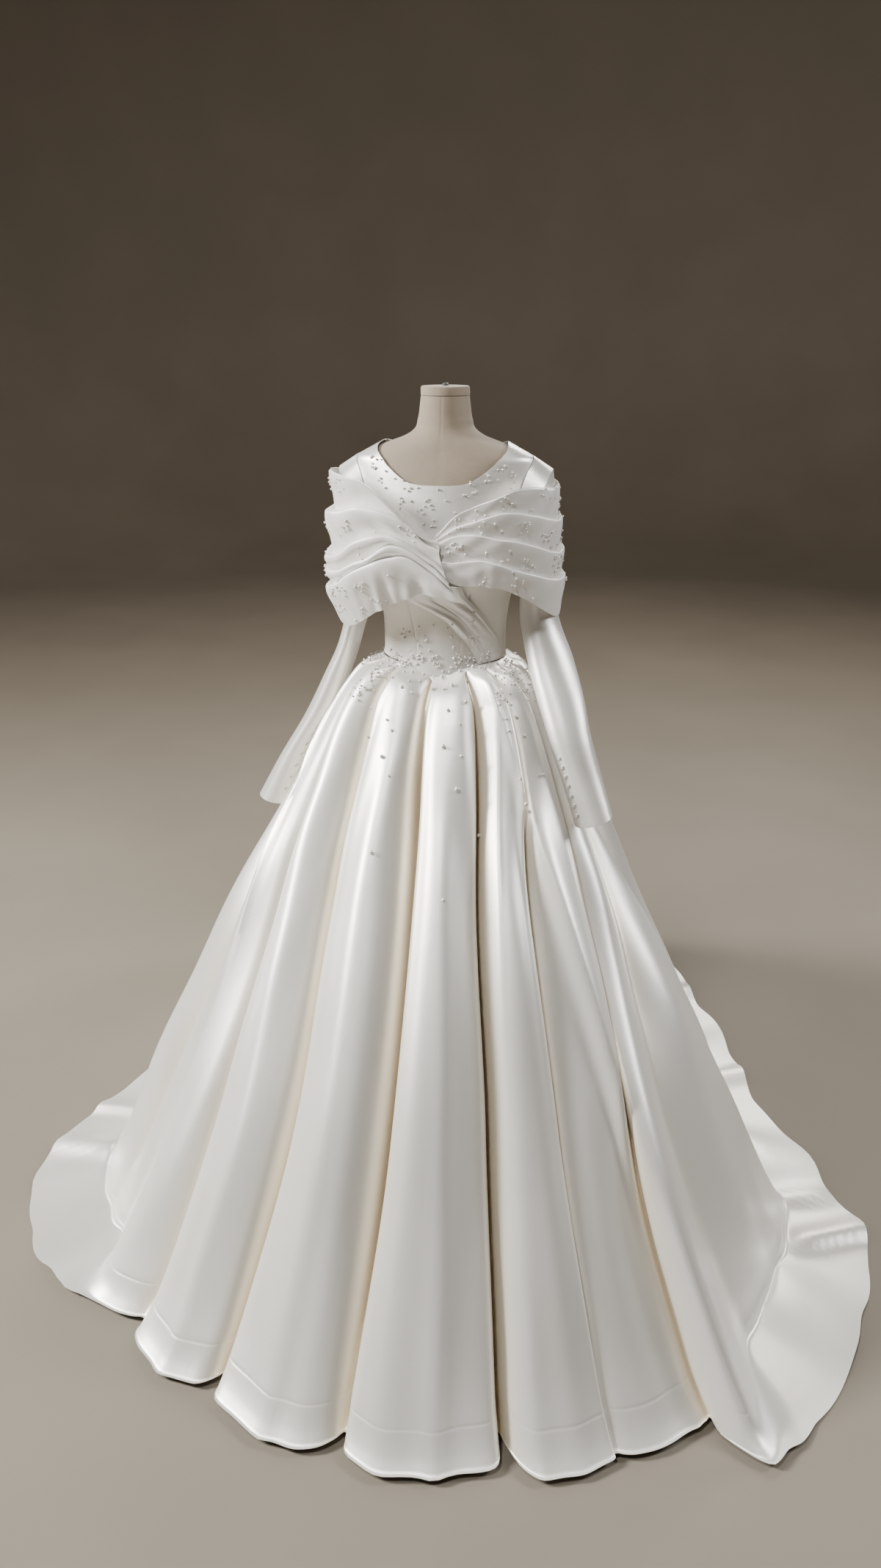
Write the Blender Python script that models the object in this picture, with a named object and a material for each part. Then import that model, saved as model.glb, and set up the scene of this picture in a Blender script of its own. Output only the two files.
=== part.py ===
"""Wedding dress on a limbless dress form: satin bodice, folded shoulder wrap, long sleeves, pleated skirt.

Metres, +Z up. The front faces -Y and +X is the right of someone looking at the front.
The origin is on the floor under the axis of the form.
"""

import math

import bpy
import numpy as np

# Sizes that drive the rest.
CLOTH = 0.0022
SEAM_GAP = 0.0004
WAIST_GAP = 0.0009
ARM_GAP = 0.0014
FORM_CLEAR = 0.0014
FORM_IN = 0.0024
NECK_TOP = 1.616
CAP_TOP = 1.633
HIP_BOTTOM = 0.900
PANEL_EDGE = 36.0
ARM_CENTRE_Z = 1.4425
ARM_HALF_Z = 0.0645
ARM_WIDE_DEG = 34.0
SEAM_SIDE_Z = 1.121
SEAM_DIP = 0.024
SEAM_DIP_DEG = 30.0
BASE_RADIUS = 0.190
BASE_THICK = 0.018
BASE_CHAMFER = 0.004
POLE_RADIUS = 0.017
BUTTON_RADIUS = 0.0047
BUTTON_HEIGHT = 0.0040
BUTTON_GAP = 0.0009
BUTTON_RINGS = ((0.72, 0.0), (1.0, 0.35), (0.66, 0.86))
CUFF_BUTTONS = 7
CUFF_COLUMN = 6
CUFF_FIRST_ROW = 10.43
CUFF_ROW_STEP = 0.215
BACK_BUTTONS = 6
BACK_FIRST_ROW = 0.45
BACK_ROW_STEP = 0.46
TRAIN_RIDGE = 0.013
HEM_CLEAR = 0.012
TRAIN_FROM_DEG = 37.5
TRAIN_BLEND_DEG = 12.0
FOLD_ROUND = 2.1

# Form sections: height, half width, depth to the front, depth to the back.
FORM = (
    (0.900, 0.150, 0.095, 0.112),
    (0.925, 0.166, 0.107, 0.124),
    (0.960, 0.169, 0.109, 0.124),
    (1.030, 0.152, 0.102, 0.110),
    (1.090, 0.131, 0.091, 0.091),
    (1.140, 0.119, 0.083, 0.079),
    (1.190, 0.120, 0.085, 0.078),
    (1.250, 0.129, 0.099, 0.082),
    (1.300, 0.138, 0.120, 0.086),
    (1.340, 0.143, 0.125, 0.090),
    (1.390, 0.149, 0.110, 0.095),
    (1.440, 0.158, 0.096, 0.097),
    (1.480, 0.166, 0.084, 0.093),
    (1.500, 0.168, 0.076, 0.087),
    (1.512, 0.160, 0.071, 0.081),
    (1.524, 0.138, 0.066, 0.075),
    (1.535, 0.108, 0.062, 0.069),
    (1.545, 0.080, 0.058, 0.064),
    (1.556, 0.062, 0.054, 0.059),
    (1.575, 0.054, 0.050, 0.054),
    (1.600, 0.050, 0.047, 0.050),
    (1.616, 0.048, 0.045, 0.048),
)
# Heights of the form's rings of points, and the neck cap's rings: how far out, height above the neck.
FORM_RINGS = (
    0.900, 0.925, 0.965, 1.030, 1.090, 1.140, 1.190, 1.250, 1.300, 1.340, 1.390, 1.440,
    1.480, 1.495, 1.506, 1.514, 1.522, 1.530, 1.538, 1.548, 1.562, 1.590, NECK_TOP,
)
CAP_RINGS = ((0.0, 0.0004), (0.0015, 0.003), (0.0015, 0.013), (-0.002, CAP_TOP - NECK_TOP))
KNOB_RINGS = ((0.006, 0.0004), (0.006, 0.003), (0.004, 0.005))
FORM_SIDES = 28

# Neckline: angle from the front in degrees, height of the top edge.
NECKLINE = (
    (0.0, 1.462), (12.0, 1.463), (20.0, 1.467), (27.0, 1.477), (34.0, 1.491), (43.0, 1.507),
    (54.0, 1.518), (70.0, 1.527), (90.0, 1.531), (110.0, 1.530), (135.0, 1.524), (180.0, 1.512),
)

# Skirt rows: height and share of the way out to the hem, first for the front, then for the train.
SKIRT_ROWS = (
    (1.000, 0.000, 1.000, 0.000),
    (0.984, 0.045, 0.984, 0.045),
    (0.945, 0.090, 0.945, 0.092),
    (0.885, 0.142, 0.885, 0.145),
    (0.800, 0.214, 0.800, 0.214),
    (0.690, 0.318, 0.690, 0.305),
    (0.555, 0.445, 0.550, 0.412),
    (0.415, 0.572, 0.405, 0.520),
    (0.285, 0.690, 0.268, 0.620),
    (0.175, 0.795, 0.140, 0.705),
    (0.100, 0.870, 0.058, 0.762),
    (0.052, 0.925, 0.014, 0.798),
    (0.026, 0.965, 0.000, 0.838),
    (0.010, 1.000, 0.000, 1.000),
)

# Hem outline: angle from the front in degrees, distance from the axis.
HEM = (
    (-180.0, 1.030), (-165.0, 1.005), (-150.0, 0.940), (-130.0, 0.830), (-110.0, 0.745),
    (-93.0, 0.740), (-86.0, 0.775), (-80.5, 0.822), (-75.7, 0.860), (-69.7, 0.898),
    (-61.4, 0.937), (-52.3, 0.957), (-46.0, 0.935), (-38.0, 0.905), (-32.0, 0.900),
    (-25.0, 0.915), (-20.0, 0.930), (-12.0, 0.948), (-2.0, 0.955), (3.0, 0.972),
    (14.0, 0.978), (20.0, 0.992), (30.0, 0.978), (36.0, 0.995), (39.5, 1.085),
    (45.8, 1.070), (55.9, 1.028), (67.5, 0.988), (75.0, 0.955), (79.0, 0.880),
    (85.0, 0.836), (92.0, 0.780), (110.0, 0.750), (130.0, 0.830), (150.0, 0.945), (165.0, 1.010),
    (180.0, 1.030),
)

# Skirt folds, alternately valley and ridge, from the centre back round by the left to the centre back.
# Angle in degrees at the waist, the thigh, the shin and the hem, then the depth in mm at the same places.
FOLDS = (
    ("back valley", -180, -180, -180, -180, -10, -26, -38, -10),
    ("back ridge 1", -169, -169, -170, -171, 9, 19, 27, 9),
    ("back valley 1", -158, -158, -160, -160, -9, -24, -33, -10),
    ("back ridge 2", -147, -147, -148, -147, 10, 22, 31, 10),
    ("back valley 2", -136, -134, -133, -132, -8, -20, -30, -8),
    ("back ridge 3", -126, -123, -120, -118, 9, 18, 26, 9),
    ("side valley left 1", -116, -112, -108, -105, -9, -19, -27, -8),
    ("side ridge left 1", -107, -101, -95, -92, 8, 15, 21, 8),
    ("side valley left 2", -98, -90, -82, -79, -8, -15, -20, -8),
    ("side ridge left 2", -90, -80, -71, -67, 8, 14, 19, 8),
    ("side valley left 3", -82, -69, -59, -55, -8, -13, -17, -6),
    ("flute left outer", -75, -58, -47, -44, 11, 13, 16, 8),
    ("flute left groove", -66, -49, -37, -32, -8, -10, -12, -12),
    ("flute left inner", -56, -41, -28, -25, 11, 15, 13, 5),
    ("deep fold left", -45, -33, -20, -18.3, -15, -32, -38, -32),
    ("front lobe left", -26, -17, -10, -9, 8, 13, 10, 3),
    ("centre fold", -8, -2.5, -1, -2.2, -14, -18, -13, -14),
    ("front lobe right", 12, 9, 8, 7, 8, 12, 10, 3),
    ("deep fold right", 33, 22.5, 18, 16.1, -15, -30, -36, -42),
    ("flute right inner", 41, 29, 23, 21, 11, 11, 8, 4),
    ("flute right groove", 50, 36, 29, 27, -8, -8, -5, -3),
    ("flute right outer", 57, 45, 34, 32, 9, 2, 13, 5),
    ("tip fold valley", 64, 54, 38.8, 36.8, -8, -30, -26, -26),
    ("tip fold ridge", 70, 61, 43.5, 40.5, 6, -26, 4, 6),
    ("side valley right 1", 77, 68, 50, 46, -8, -40, -16, -5),
    ("side ridge right 1", 84, 77, 62, 58, 4, -22, 14, 8),
    ("side valley right 2", 92, 87, 76, 71, -8, -20, -18, -6),
    ("side ridge right 2", 101, 98, 91, 85, 8, 16, 21, 8),
    ("side valley right 3", 110, 108, 105, 101, -9, -18, -25, -8),
    ("back ridge 4", 120, 119, 118, 116, 9, 20, 28, 9),
    ("back valley 4", 131, 131, 131, 131, -9, -21, -31, -9),
    ("back ridge 5", 143, 143, 144, 145, 9, 22, 29, 10),
    ("back valley 5", 155, 156, 157, 158, -9, -23, -35, -9),
    ("back ridge 6", 168, 168, 169, 170, 10, 20, 28, 10),
    ("back valley", 180, 180, 180, 180, -10, -26, -38, -10),
)

# Skirt gores: name, first fold, last fold (the seams lie in the valleys).
GORES = (
    ("skirt_back_left", 0, 6),
    ("skirt_side_left", 6, 10),
    ("skirt_front_left", 10, 14),
    ("skirt_centre_front", 14, 18),
    ("skirt_front_right", 18, 22),
    ("skirt_side_right", 22, 28),
    ("skirt_back_right", 28, 34),
)

# Shares of the seam's height at which a fold's four angles and depths hold.
FOLD_HEIGHTS = (0.95, 0.72, 0.36, 0.02)

# Steps across one half fold, from the valley (0) to the ridge (1).
FOLD_STEPS = (0.0, 0.16, 0.48)

# Skirt rows, counted from the waist, where the train comes to lie on the floor and the front hem hangs clear.
LYING_FROM = 10.5
LYING_ROWS = 1.5
HANGING_FROM = 11.0
# Height under which a gore's side edges turn from upright to lying.
LOW_EDGE = 0.03

# Sleeve rings below the armhole: outer point x, y, z, inner point x, y, z, half depth to the front.
SLEEVE_RIGHT = (
    (0.206, 0.002, 1.486, 0.1570, 0.002, 1.374, 0.056),
    (0.213, 0.004, 1.432, 0.1580, 0.004, 1.362, 0.056),
    (0.217, 0.004, 1.380, 0.1575, 0.004, 1.335, 0.055),
    (0.219, 0.002, 1.320, 0.1560, 0.002, 1.300, 0.053),
    (0.226, -0.004, 1.212, 0.1500, -0.004, 1.230, 0.049),
    (0.262, -0.034, 1.128, 0.1630, -0.034, 1.158, 0.045),
    (0.289, -0.086, 1.061, 0.1940, -0.086, 1.067, 0.041),
    (0.306, -0.124, 1.003, 0.2210, -0.124, 1.000, 0.038),
    (0.331, -0.151, 0.932, 0.2540, -0.151, 0.922, 0.035),
    (0.357, -0.185, 0.863, 0.2860, -0.185, 0.840, 0.032),
)
SLEEVE_LEFT = (
    (0.206, 0.002, 1.486, 0.1570, 0.002, 1.374, 0.056),
    (0.212, 0.004, 1.432, 0.1580, 0.004, 1.362, 0.056),
    (0.215, 0.006, 1.380, 0.1575, 0.006, 1.335, 0.055),
    (0.213, 0.008, 1.320, 0.1560, 0.008, 1.300, 0.054),
    (0.204, 0.010, 1.220, 0.1530, 0.010, 1.235, 0.052),
    (0.221, 0.014, 1.138, 0.1740, 0.014, 1.151, 0.047),
    (0.258, 0.018, 1.060, 0.1960, 0.018, 1.083, 0.045),
    (0.305, 0.024, 0.969, 0.2320, 0.024, 0.997, 0.042),
    (0.370, 0.036, 0.865, 0.2950, 0.036, 0.893, 0.039),
    (0.426, 0.046, 0.767, 0.3620, 0.046, 0.750, 0.035),
)

# Wrap over the shoulders: angle from the front, height of the top edge, height of the bottom edge,
# half width, depth, height of the fold steps in mm. The left side is deeper and stands further off.
WRAP_RIGHT = (
    (0.3, 1.378, 1.300, 0.2320, 0.140, 3),
    (6.0, 1.410, 1.290, 0.2320, 0.141, 4),
    (15.0, 1.431, 1.287, 0.2320, 0.143, 5),
    (26.0, 1.446, 1.283, 0.2320, 0.144, 6),
    (37.0, 1.460, 1.271, 0.2302, 0.144, 7),
    (50.0, 1.464, 1.250, 0.2302, 0.142, 7),
    (64.0, 1.460, 1.228, 0.2302, 0.138, 6),
    (78.0, 1.457, 1.214, 0.2302, 0.134, 6),
    (92.0, 1.458, 1.212, 0.2302, 0.132, 6),
    (108.0, 1.462, 1.222, 0.2302, 0.130, 5),
    (126.0, 1.466, 1.240, 0.2292, 0.128, 5),
    (146.0, 1.466, 1.256, 0.2300, 0.127, 5),
    (166.0, 1.464, 1.266, 0.2290, 0.126, 5),
    (180.0, 1.463, 1.268, 0.2290, 0.126, 5),
)
WRAP_LEFT = (
    (-12.0, 1.362, 1.250, 0.2280, 0.152, 3),
    (-4.0, 1.366, 1.262, 0.2280, 0.152, 5),
    (2.0, 1.374, 1.268, 0.2280, 0.150, 7),
    (8.0, 1.394, 1.262, 0.2280, 0.150, 9),
    (16.0, 1.426, 1.248, 0.2280, 0.150, 12),
    (25.0, 1.456, 1.232, 0.2280, 0.150, 14),
    (36.0, 1.475, 1.212, 0.2280, 0.150, 15),
    (49.0, 1.478, 1.194, 0.2250, 0.148, 15),
    (64.0, 1.482, 1.188, 0.2260, 0.143, 14),
    (79.0, 1.484, 1.196, 0.2280, 0.137, 12),
    (93.0, 1.480, 1.208, 0.2280, 0.133, 10),
    (108.0, 1.474, 1.222, 0.2280, 0.130, 8),
    (126.0, 1.469, 1.240, 0.2270, 0.128, 6),
    (146.0, 1.466, 1.256, 0.2290, 0.127, 5),
    (166.0, 1.464, 1.266, 0.2290, 0.126, 5),
    (180.0, 1.463, 1.268, 0.2290, 0.126, 5),
)
# Where each side of the wrap begins at the crossing: share from the top edge, angle from the front.
CROSSING_RIGHT = ((0.0, 0.5), (0.4, 0.9), (0.8, 6.2), (1.0, 7.4))
CROSSING_LEFT = ((0.0, 0.3), (0.25, -0.3), (0.6, -5.4), (1.0, -9.8))
WRAP_FOLDS = 5
WRAP_TURN = 0.78
WRAP_POWER = 2.5
WRAP_TOP_IN = 0.080
WRAP_LOW_IN = 0.050
# Columns round each side of the wrap: first angle, last angle, how many.
WRAP_COLUMNS = ((0.0, 60.0, 9), (69.0, 117.0, 7), (132.0, 180.0, 4))
WRAP_STRIP = (0.0, 1.0 - WRAP_TURN, 0.58)

# Tail of the wrap: upper edge x, z, lower edge x, z, distance off the bodice.
TAIL = (
    (0.052, 1.285, -0.056, 1.285, 0.0196),
    (0.058, 1.262, -0.054, 1.252, 0.0120),
    (0.070, 1.244, -0.020, 1.232, 0.0070),
    (0.085, 1.223, 0.016, 1.211, 0.0075),
    (0.101, 1.196, 0.040, 1.184, 0.0075),
    (0.114, 1.168, 0.062, 1.156, 0.0074),
    (0.119, 1.146, 0.080, 1.133, 0.0068),
)

SATIN = ("satin", (0.90, 0.885, 0.86), 0.34)
WRAP_CLOTH = ("wrap_satin", (0.87, 0.86, 0.835), 0.38)
LINEN = ("form_linen", (0.60, 0.56, 0.49), 0.85)
BUTTON_CLOTH = ("button_satin", (0.88, 0.87, 0.84), 0.36)
METAL = ("stand_metal", (0.30, 0.29, 0.28), 0.40)


def material(kind):
    name, colour, rough = kind
    made = bpy.data.materials.get(name)
    if made is None:
        made = bpy.data.materials.new(name)
        made.use_nodes = True
        shader = made.node_tree.nodes["Principled BSDF"]
        shader.inputs["Base Color"].default_value = (*colour, 1.0)
        shader.inputs["Roughness"].default_value = rough
    return made


def table(rows, at):
    """Smooth value of each column of a table, the first column being where it is read."""
    rows = np.array(rows, float)
    at = np.asarray(at, float)
    keys = rows[:, 0]
    slopes = np.gradient(rows[:, 1:], keys, axis=0)
    steps = np.diff(keys)
    rise = np.diff(rows[:, 1:], axis=0) / steps[:, None]
    flat = np.zeros_like(slopes, bool)
    flat[1:-1] = rise[1:] * rise[:-1] <= 0
    slopes[flat] = 0.0
    slopes[0] = rise[0]
    slopes[-1] = rise[-1]
    limit = np.minimum(
        np.abs(np.vstack([rise[:1], rise])), np.abs(np.vstack([rise, rise[-1:]]))
    )
    slopes = np.clip(slopes, -3 * limit, 3 * limit)
    place = np.clip(np.searchsorted(keys, at, side="right") - 1, 0, len(keys) - 2)
    step = steps[place]
    t = np.clip((at - keys[place]) / step, 0.0, 1.0)
    t2 = t * t
    t3 = t2 * t
    weights = (2 * t3 - 3 * t2 + 1, (t3 - 2 * t2 + t) * step, 3 * t2 - 2 * t3, (t3 - t2) * step)
    low = rows[:, 1:][place]
    high = rows[:, 1:][place + 1]
    parts = (low, slopes[place], high, slopes[place + 1])
    return sum(weight[..., None] * part for weight, part in zip(weights, parts))


def body_point(angle_deg, z, off=0.0):
    """Point of the form's surface at an angle from the front and a height, moved out by off."""
    angle = np.radians(angle_deg)
    wide, front, back = np.moveaxis(table(FORM, z), -1, 0)
    above = np.moveaxis(table(FORM, np.asarray(z) + 0.002), -1, 0)
    below = np.moveaxis(table(FORM, np.asarray(z) - 0.002), -1, 0)
    share = 0.5 - 0.5 * np.cos(angle)
    depth = front + (back - front) * share
    grow_wide = (above[0] - below[0]) / 0.004
    x = wide * np.sin(angle)
    y = -depth * np.cos(angle)
    nx = np.sin(angle) / wide
    ny = -np.cos(angle) / depth
    length = np.hypot(nx, ny)
    nx = nx / length
    ny = ny / length
    nz = -grow_wide * np.abs(np.sin(angle)) - 0.5 * grow_wide * np.abs(np.cos(angle))
    norm = np.sqrt(1.0 + nz * nz)
    return np.stack(
        [x + off * nx / norm, y + off * ny / norm, z + off * nz / norm], axis=-1
    )


def normals_of(grid, around=False):
    """Normals of a grid of points, out of the surface when the angle grows along the first axis."""
    if around:
        wide = np.concatenate([grid[-1:], grid, grid[:1]])
        du = (wide[2:] - wide[:-2]) / 2
    else:
        du = np.gradient(grid, axis=0)
    dv = np.gradient(grid, axis=1)
    normal = np.cross(du, dv)
    return normal / np.maximum(np.linalg.norm(normal, axis=-1, keepdims=True), 1e-12)


def solid(name, points, faces, kind, smooth=True):
    """One closed mesh object with its faces turned outwards."""
    points = np.asarray(points, float)
    volume = 0.0
    for face in faces:
        first = points[face[0]]
        for one, two in zip(face[1:-1], face[2:]):
            volume += np.dot(first, np.cross(points[one], points[two]))
    if volume < 0:
        faces = [tuple(reversed(face)) for face in faces]
    mesh = bpy.data.meshes.new(name)
    mesh.from_pydata([tuple(point) for point in points], [], [tuple(face) for face in faces])
    mesh.update()
    mesh.materials.append(material(kind))
    for polygon in mesh.polygons:
        polygon.use_smooth = smooth
    made = bpy.data.objects.new(name, mesh)
    bpy.context.scene.collection.objects.link(made)
    return made


def shell(name, outer, inner, kind, around=False):
    """Closed wall between two grids of points with the same rows and columns.

    Both faces are cut along the same diagonal, so that the thin wall keeps its thickness where it twists.
    """
    across, rows = outer.shape[:2]
    points = np.concatenate([outer.reshape(-1, 3), inner.reshape(-1, 3)])
    half = across * rows
    faces = []
    columns = across if around else across - 1
    for i in range(columns):
        j = (i + 1) % across
        for k in range(rows - 1):
            quad = (i * rows + k, j * rows + k, j * rows + k + 1, i * rows + k + 1)
            one = np.linalg.norm(outer[i, k] - outer[j, k + 1])
            other = np.linalg.norm(outer[j, k] - outer[i, k + 1])
            cuts = ((0, 1, 2), (0, 2, 3)) if one <= other else ((0, 1, 3), (1, 2, 3))
            for cut in cuts:
                faces.append(tuple(quad[corner] for corner in cut))
                faces.append(tuple(half + quad[corner] for corner in reversed(cut)))
        faces.append((j * rows, i * rows, half + i * rows, half + j * rows))
        top_i = i * rows + rows - 1
        top_j = j * rows + rows - 1
        faces.append((top_i, top_j, half + top_j, half + top_i))
    if not around:
        last = (across - 1) * rows
        for k in range(rows - 1):
            faces.append((k, k + 1, half + k + 1, half + k))
            faces.append((last + k + 1, last + k, half + last + k, half + last + k + 1))
    return solid(name, points, faces, kind)


def turned(name, rings, kind, smooth=True):
    """Closed body through rings of points, with flat ends."""
    rings = [np.asarray(ring, float) for ring in rings]
    count = len(rings[0])
    points = np.concatenate(rings)
    faces = []
    for level in range(len(rings) - 1):
        for i in range(count):
            j = (i + 1) % count
            low = level * count
            faces.append((low + i, low + j, low + count + j, low + count + i))
    faces.append(tuple(reversed(range(count))))
    last = (len(rings) - 1) * count
    faces.append(tuple(last + i for i in range(count)))
    return solid(name, points, faces, kind, smooth)


def circle(radius, z, count):
    angle = np.linspace(0.0, 2 * math.pi, count, endpoint=False)
    return np.stack([radius * np.sin(angle), -radius * np.cos(angle), np.full(count, z)], axis=-1)


def build_form():
    count = FORM_SIDES
    angles = np.linspace(-180.0, 180.0, count, endpoint=False)
    rings = [body_point(angles, np.full(count, z), -FORM_IN) for z in FORM_RINGS]
    rings[0][:, 2] = HIP_BOTTOM
    turned("form_body", rings, LINEN)
    neck = table(FORM, np.array([NECK_TOP]))[0]
    cap = []
    for grow, z in CAP_RINGS:
        ring = body_point(angles, np.full(count, NECK_TOP), -FORM_IN)
        ring = ring * np.array([1.0 + grow / neck[0], 1.0 + grow / neck[1], 1.0])
        ring[:, 2] = NECK_TOP + z
        cap.append(ring)
    turned("form_neck_cap", cap, LINEN)
    knob = [circle(radius, CAP_TOP + z, 12) for radius, z in KNOB_RINGS]
    turned("form_neck_knob", knob, METAL)
    pole = [circle(POLE_RADIUS, z, 20) for z in (BASE_THICK + SEAM_GAP, HIP_BOTTOM - SEAM_GAP)]
    turned("form_pole", pole, METAL)
    base = [
        circle(BASE_RADIUS, 0.0, 40),
        circle(BASE_RADIUS, BASE_THICK - BASE_CHAMFER, 40),
        circle(BASE_RADIUS - BASE_CHAMFER, BASE_THICK, 40),
    ]
    turned("form_base", base, METAL)


def seam_height(angle_deg):
    """Height of the waist seam, which dips at the centre front."""
    fall = np.exp(-((np.asarray(angle_deg, float) / SEAM_DIP_DEG) ** 2))
    return SEAM_SIDE_Z - SEAM_DIP * fall


def neck_height(angle_deg):
    return table(NECKLINE, np.abs(angle_deg))[..., 0]


def arm_edge_angle(z):
    """Angle of the armhole's edge at a height, 90 below and above the armhole."""
    share = np.clip((z - ARM_CENTRE_Z) / ARM_HALF_Z, -1.0, 1.0)
    return 90.0 - ARM_WIDE_DEG * np.sqrt(1.0 - share * share)


def bodice_grid(start, columns, rows, side):
    """Angles and heights of a panel; start is its inner edge, 0, 36 or 180 degrees from the front."""
    across = np.linspace(0.0, 1.0, columns)[:, None]
    if start == 0.0:
        nominal = PANEL_EDGE * (2.0 * across - 1.0)
    else:
        nominal = start + (90.0 - start) * across
    low = seam_height(nominal)
    top = neck_height(nominal)
    arm_low = (ARM_CENTRE_Z - ARM_HALF_Z - low) / (top - low)
    arm_high = np.minimum((ARM_CENTRE_Z + ARM_HALF_Z - low) / (top - low), 0.985)
    arm_rows = 7
    lower_rows = rows - arm_rows - 2
    shares = []
    for row in range(rows - 1):
        if row < lower_rows:
            shares.append(arm_low * row / lower_rows)
        else:
            ease = 0.5 - 0.5 * math.cos(math.pi * (row - lower_rows) / arm_rows)
            shares.append(arm_low + (arm_high - arm_low) * ease)
    shares.append(np.ones_like(low))
    share = np.concatenate(shares, axis=1)
    z = low + (top - low) * share
    if start == 0.0:
        return nominal + np.zeros(rows), z
    edge = arm_edge_angle(z)
    if start > 90.0:
        edge = 180.0 - edge
    angle = start + (edge - start) * across
    return side * angle, z


def inset(grid, left, right, low, high):
    """Edges moved in along the surface, so that pieces sewn there stay apart."""
    grid = grid.copy()
    for row, nearer, amount in ((0, 1, left), (-1, -2, right)):
        way = grid[nearer] - grid[row]
        way = way / np.maximum(np.linalg.norm(way, axis=-1, keepdims=True), 1e-9)
        grid[row] = grid[row] + way * amount
    for column, nearer, amount in ((0, 1, low), (-1, -2, high)):
        way = grid[:, nearer] - grid[:, column]
        way = way / np.maximum(np.linalg.norm(way, axis=-1, keepdims=True), 1e-9)
        grid[:, column] = grid[:, column] + way * amount
    return grid


def build_bodice():
    panels = (
        ("bodice_centre_front", 0.0, 9, 15, 1),
        ("bodice_side_front_right", PANEL_EDGE, 7, 15, 1),
        ("bodice_side_front_left", PANEL_EDGE, 7, 15, -1),
        ("bodice_back_right", 180.0, 9, 15, 1),
        ("bodice_back_left", 180.0, 9, 15, -1),
    )
    half = SEAM_GAP / 2
    outers = {}
    for name, start, columns, rows, side in panels:
        angle, z = bodice_grid(start, columns, rows, side)
        inner = inset(body_point(angle, z, FORM_CLEAR), half, half, half, 0.0)
        outer = inset(body_point(angle, z, FORM_CLEAR + CLOTH), half, half, half, 0.0)
        shell(name, outer, inner, SATIN)
        outers[name] = outer
    return outers


def skirt_point(fold, level):
    """Point of the skirt's outer face: fold counts along the fold table, level along the row table."""
    names = len(FOLDS)
    folds = np.array([row[1:] for row in FOLDS], float)
    rows = np.array(SKIRT_ROWS)
    low = np.clip(np.floor(fold).astype(int), 0, names - 2)
    part = fold - low
    kinds = folds[:, 4] > 0
    part_from_valley = np.where(kinds[low], 1.0 - part, part)
    bulge = 1.0 - (1.0 - part_from_valley) ** FOLD_ROUND
    valley = np.where(kinds[low], low + 1, low)
    ridge = np.where(kinds[low], low, low + 1)
    front_z = np.interp(level, np.arange(len(rows)), rows[:, 0])
    front_share = np.interp(level, np.arange(len(rows)), rows[:, 1])
    train_z = np.interp(level, np.arange(len(rows)), rows[:, 2])
    train_share = np.interp(level, np.arange(len(rows)), rows[:, 3])
    keys = 1.0 - np.array(FOLD_HEIGHTS)
    down = 1.0 - train_z
    columns = folds.shape[0]
    angles = np.empty((columns,) + down.shape)
    depths = np.empty((columns,) + down.shape)
    for i in range(columns):
        angles[i] = np.interp(down, keys, folds[i, :4])
        depths[i] = np.interp(down, keys, folds[i, 4:])
    fade = np.clip(level, 0.0, 1.0)
    take = np.arange(down.size).reshape(down.shape)
    flat_angles = angles.reshape(columns, -1)
    flat_depths = depths.reshape(columns, -1)
    low_flat = low.reshape(-1)
    index = take.reshape(-1)
    low_angle = flat_angles[low_flat, index].reshape(down.shape)
    high_angle = flat_angles[low_flat + 1, index].reshape(down.shape)
    picked_angle = low_angle + (high_angle - low_angle) * part
    valley_depth = flat_depths[valley.reshape(-1), index].reshape(down.shape)
    ridge_depth = flat_depths[ridge.reshape(-1), index].reshape(down.shape)
    picked_depth = (valley_depth + (ridge_depth - valley_depth) * bulge) * fade / 1000.0
    train = np.clip((np.abs(picked_angle) - TRAIN_FROM_DEG) / TRAIN_BLEND_DEG, 0.0, 1.0)
    z_share = front_z + (train_z - front_z) * train
    share = front_share + (train_share - front_share) * train
    seam = seam_height(picked_angle)
    turn = np.radians(picked_angle)
    waist = body_point(picked_angle, seam, FORM_CLEAR + CLOTH)
    waist_out = np.hypot(waist[..., 0], waist[..., 1])
    hem = table(HEM, picked_angle)[..., 0]
    out = waist_out + (hem - waist_out) * share + picked_depth
    z = seam * z_share
    lying = np.clip((level - LYING_FROM) / LYING_ROWS, 0.0, 1.0) * train
    ripple = np.clip((bulge - 0.60) / 0.40, 0.0, 1.0)
    on_floor = CLOTH + TRAIN_RIDGE * ripple * ripple * lying * np.clip((14.2 - level) / 2.0, 0.35, 1.0)
    hover = HEM_CLEAR * (1.0 - train) * np.clip(level - HANGING_FROM, 0.0, 1.0)
    z = np.maximum(z, on_floor + hover)
    return np.stack([out * np.sin(turn), -out * np.cos(turn), z], axis=-1)


def fold_places(first, last):
    """Places across a gore, closer together in the valleys."""
    places = []
    for low in range(first, last):
        rising = FOLDS[low][5] < 0
        for step in FOLD_STEPS:
            places.append(low + step if rising else low + 1 - step)
    places.append(float(last))
    return np.array(sorted(set(places) | set(range(first, last + 1))))


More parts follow.
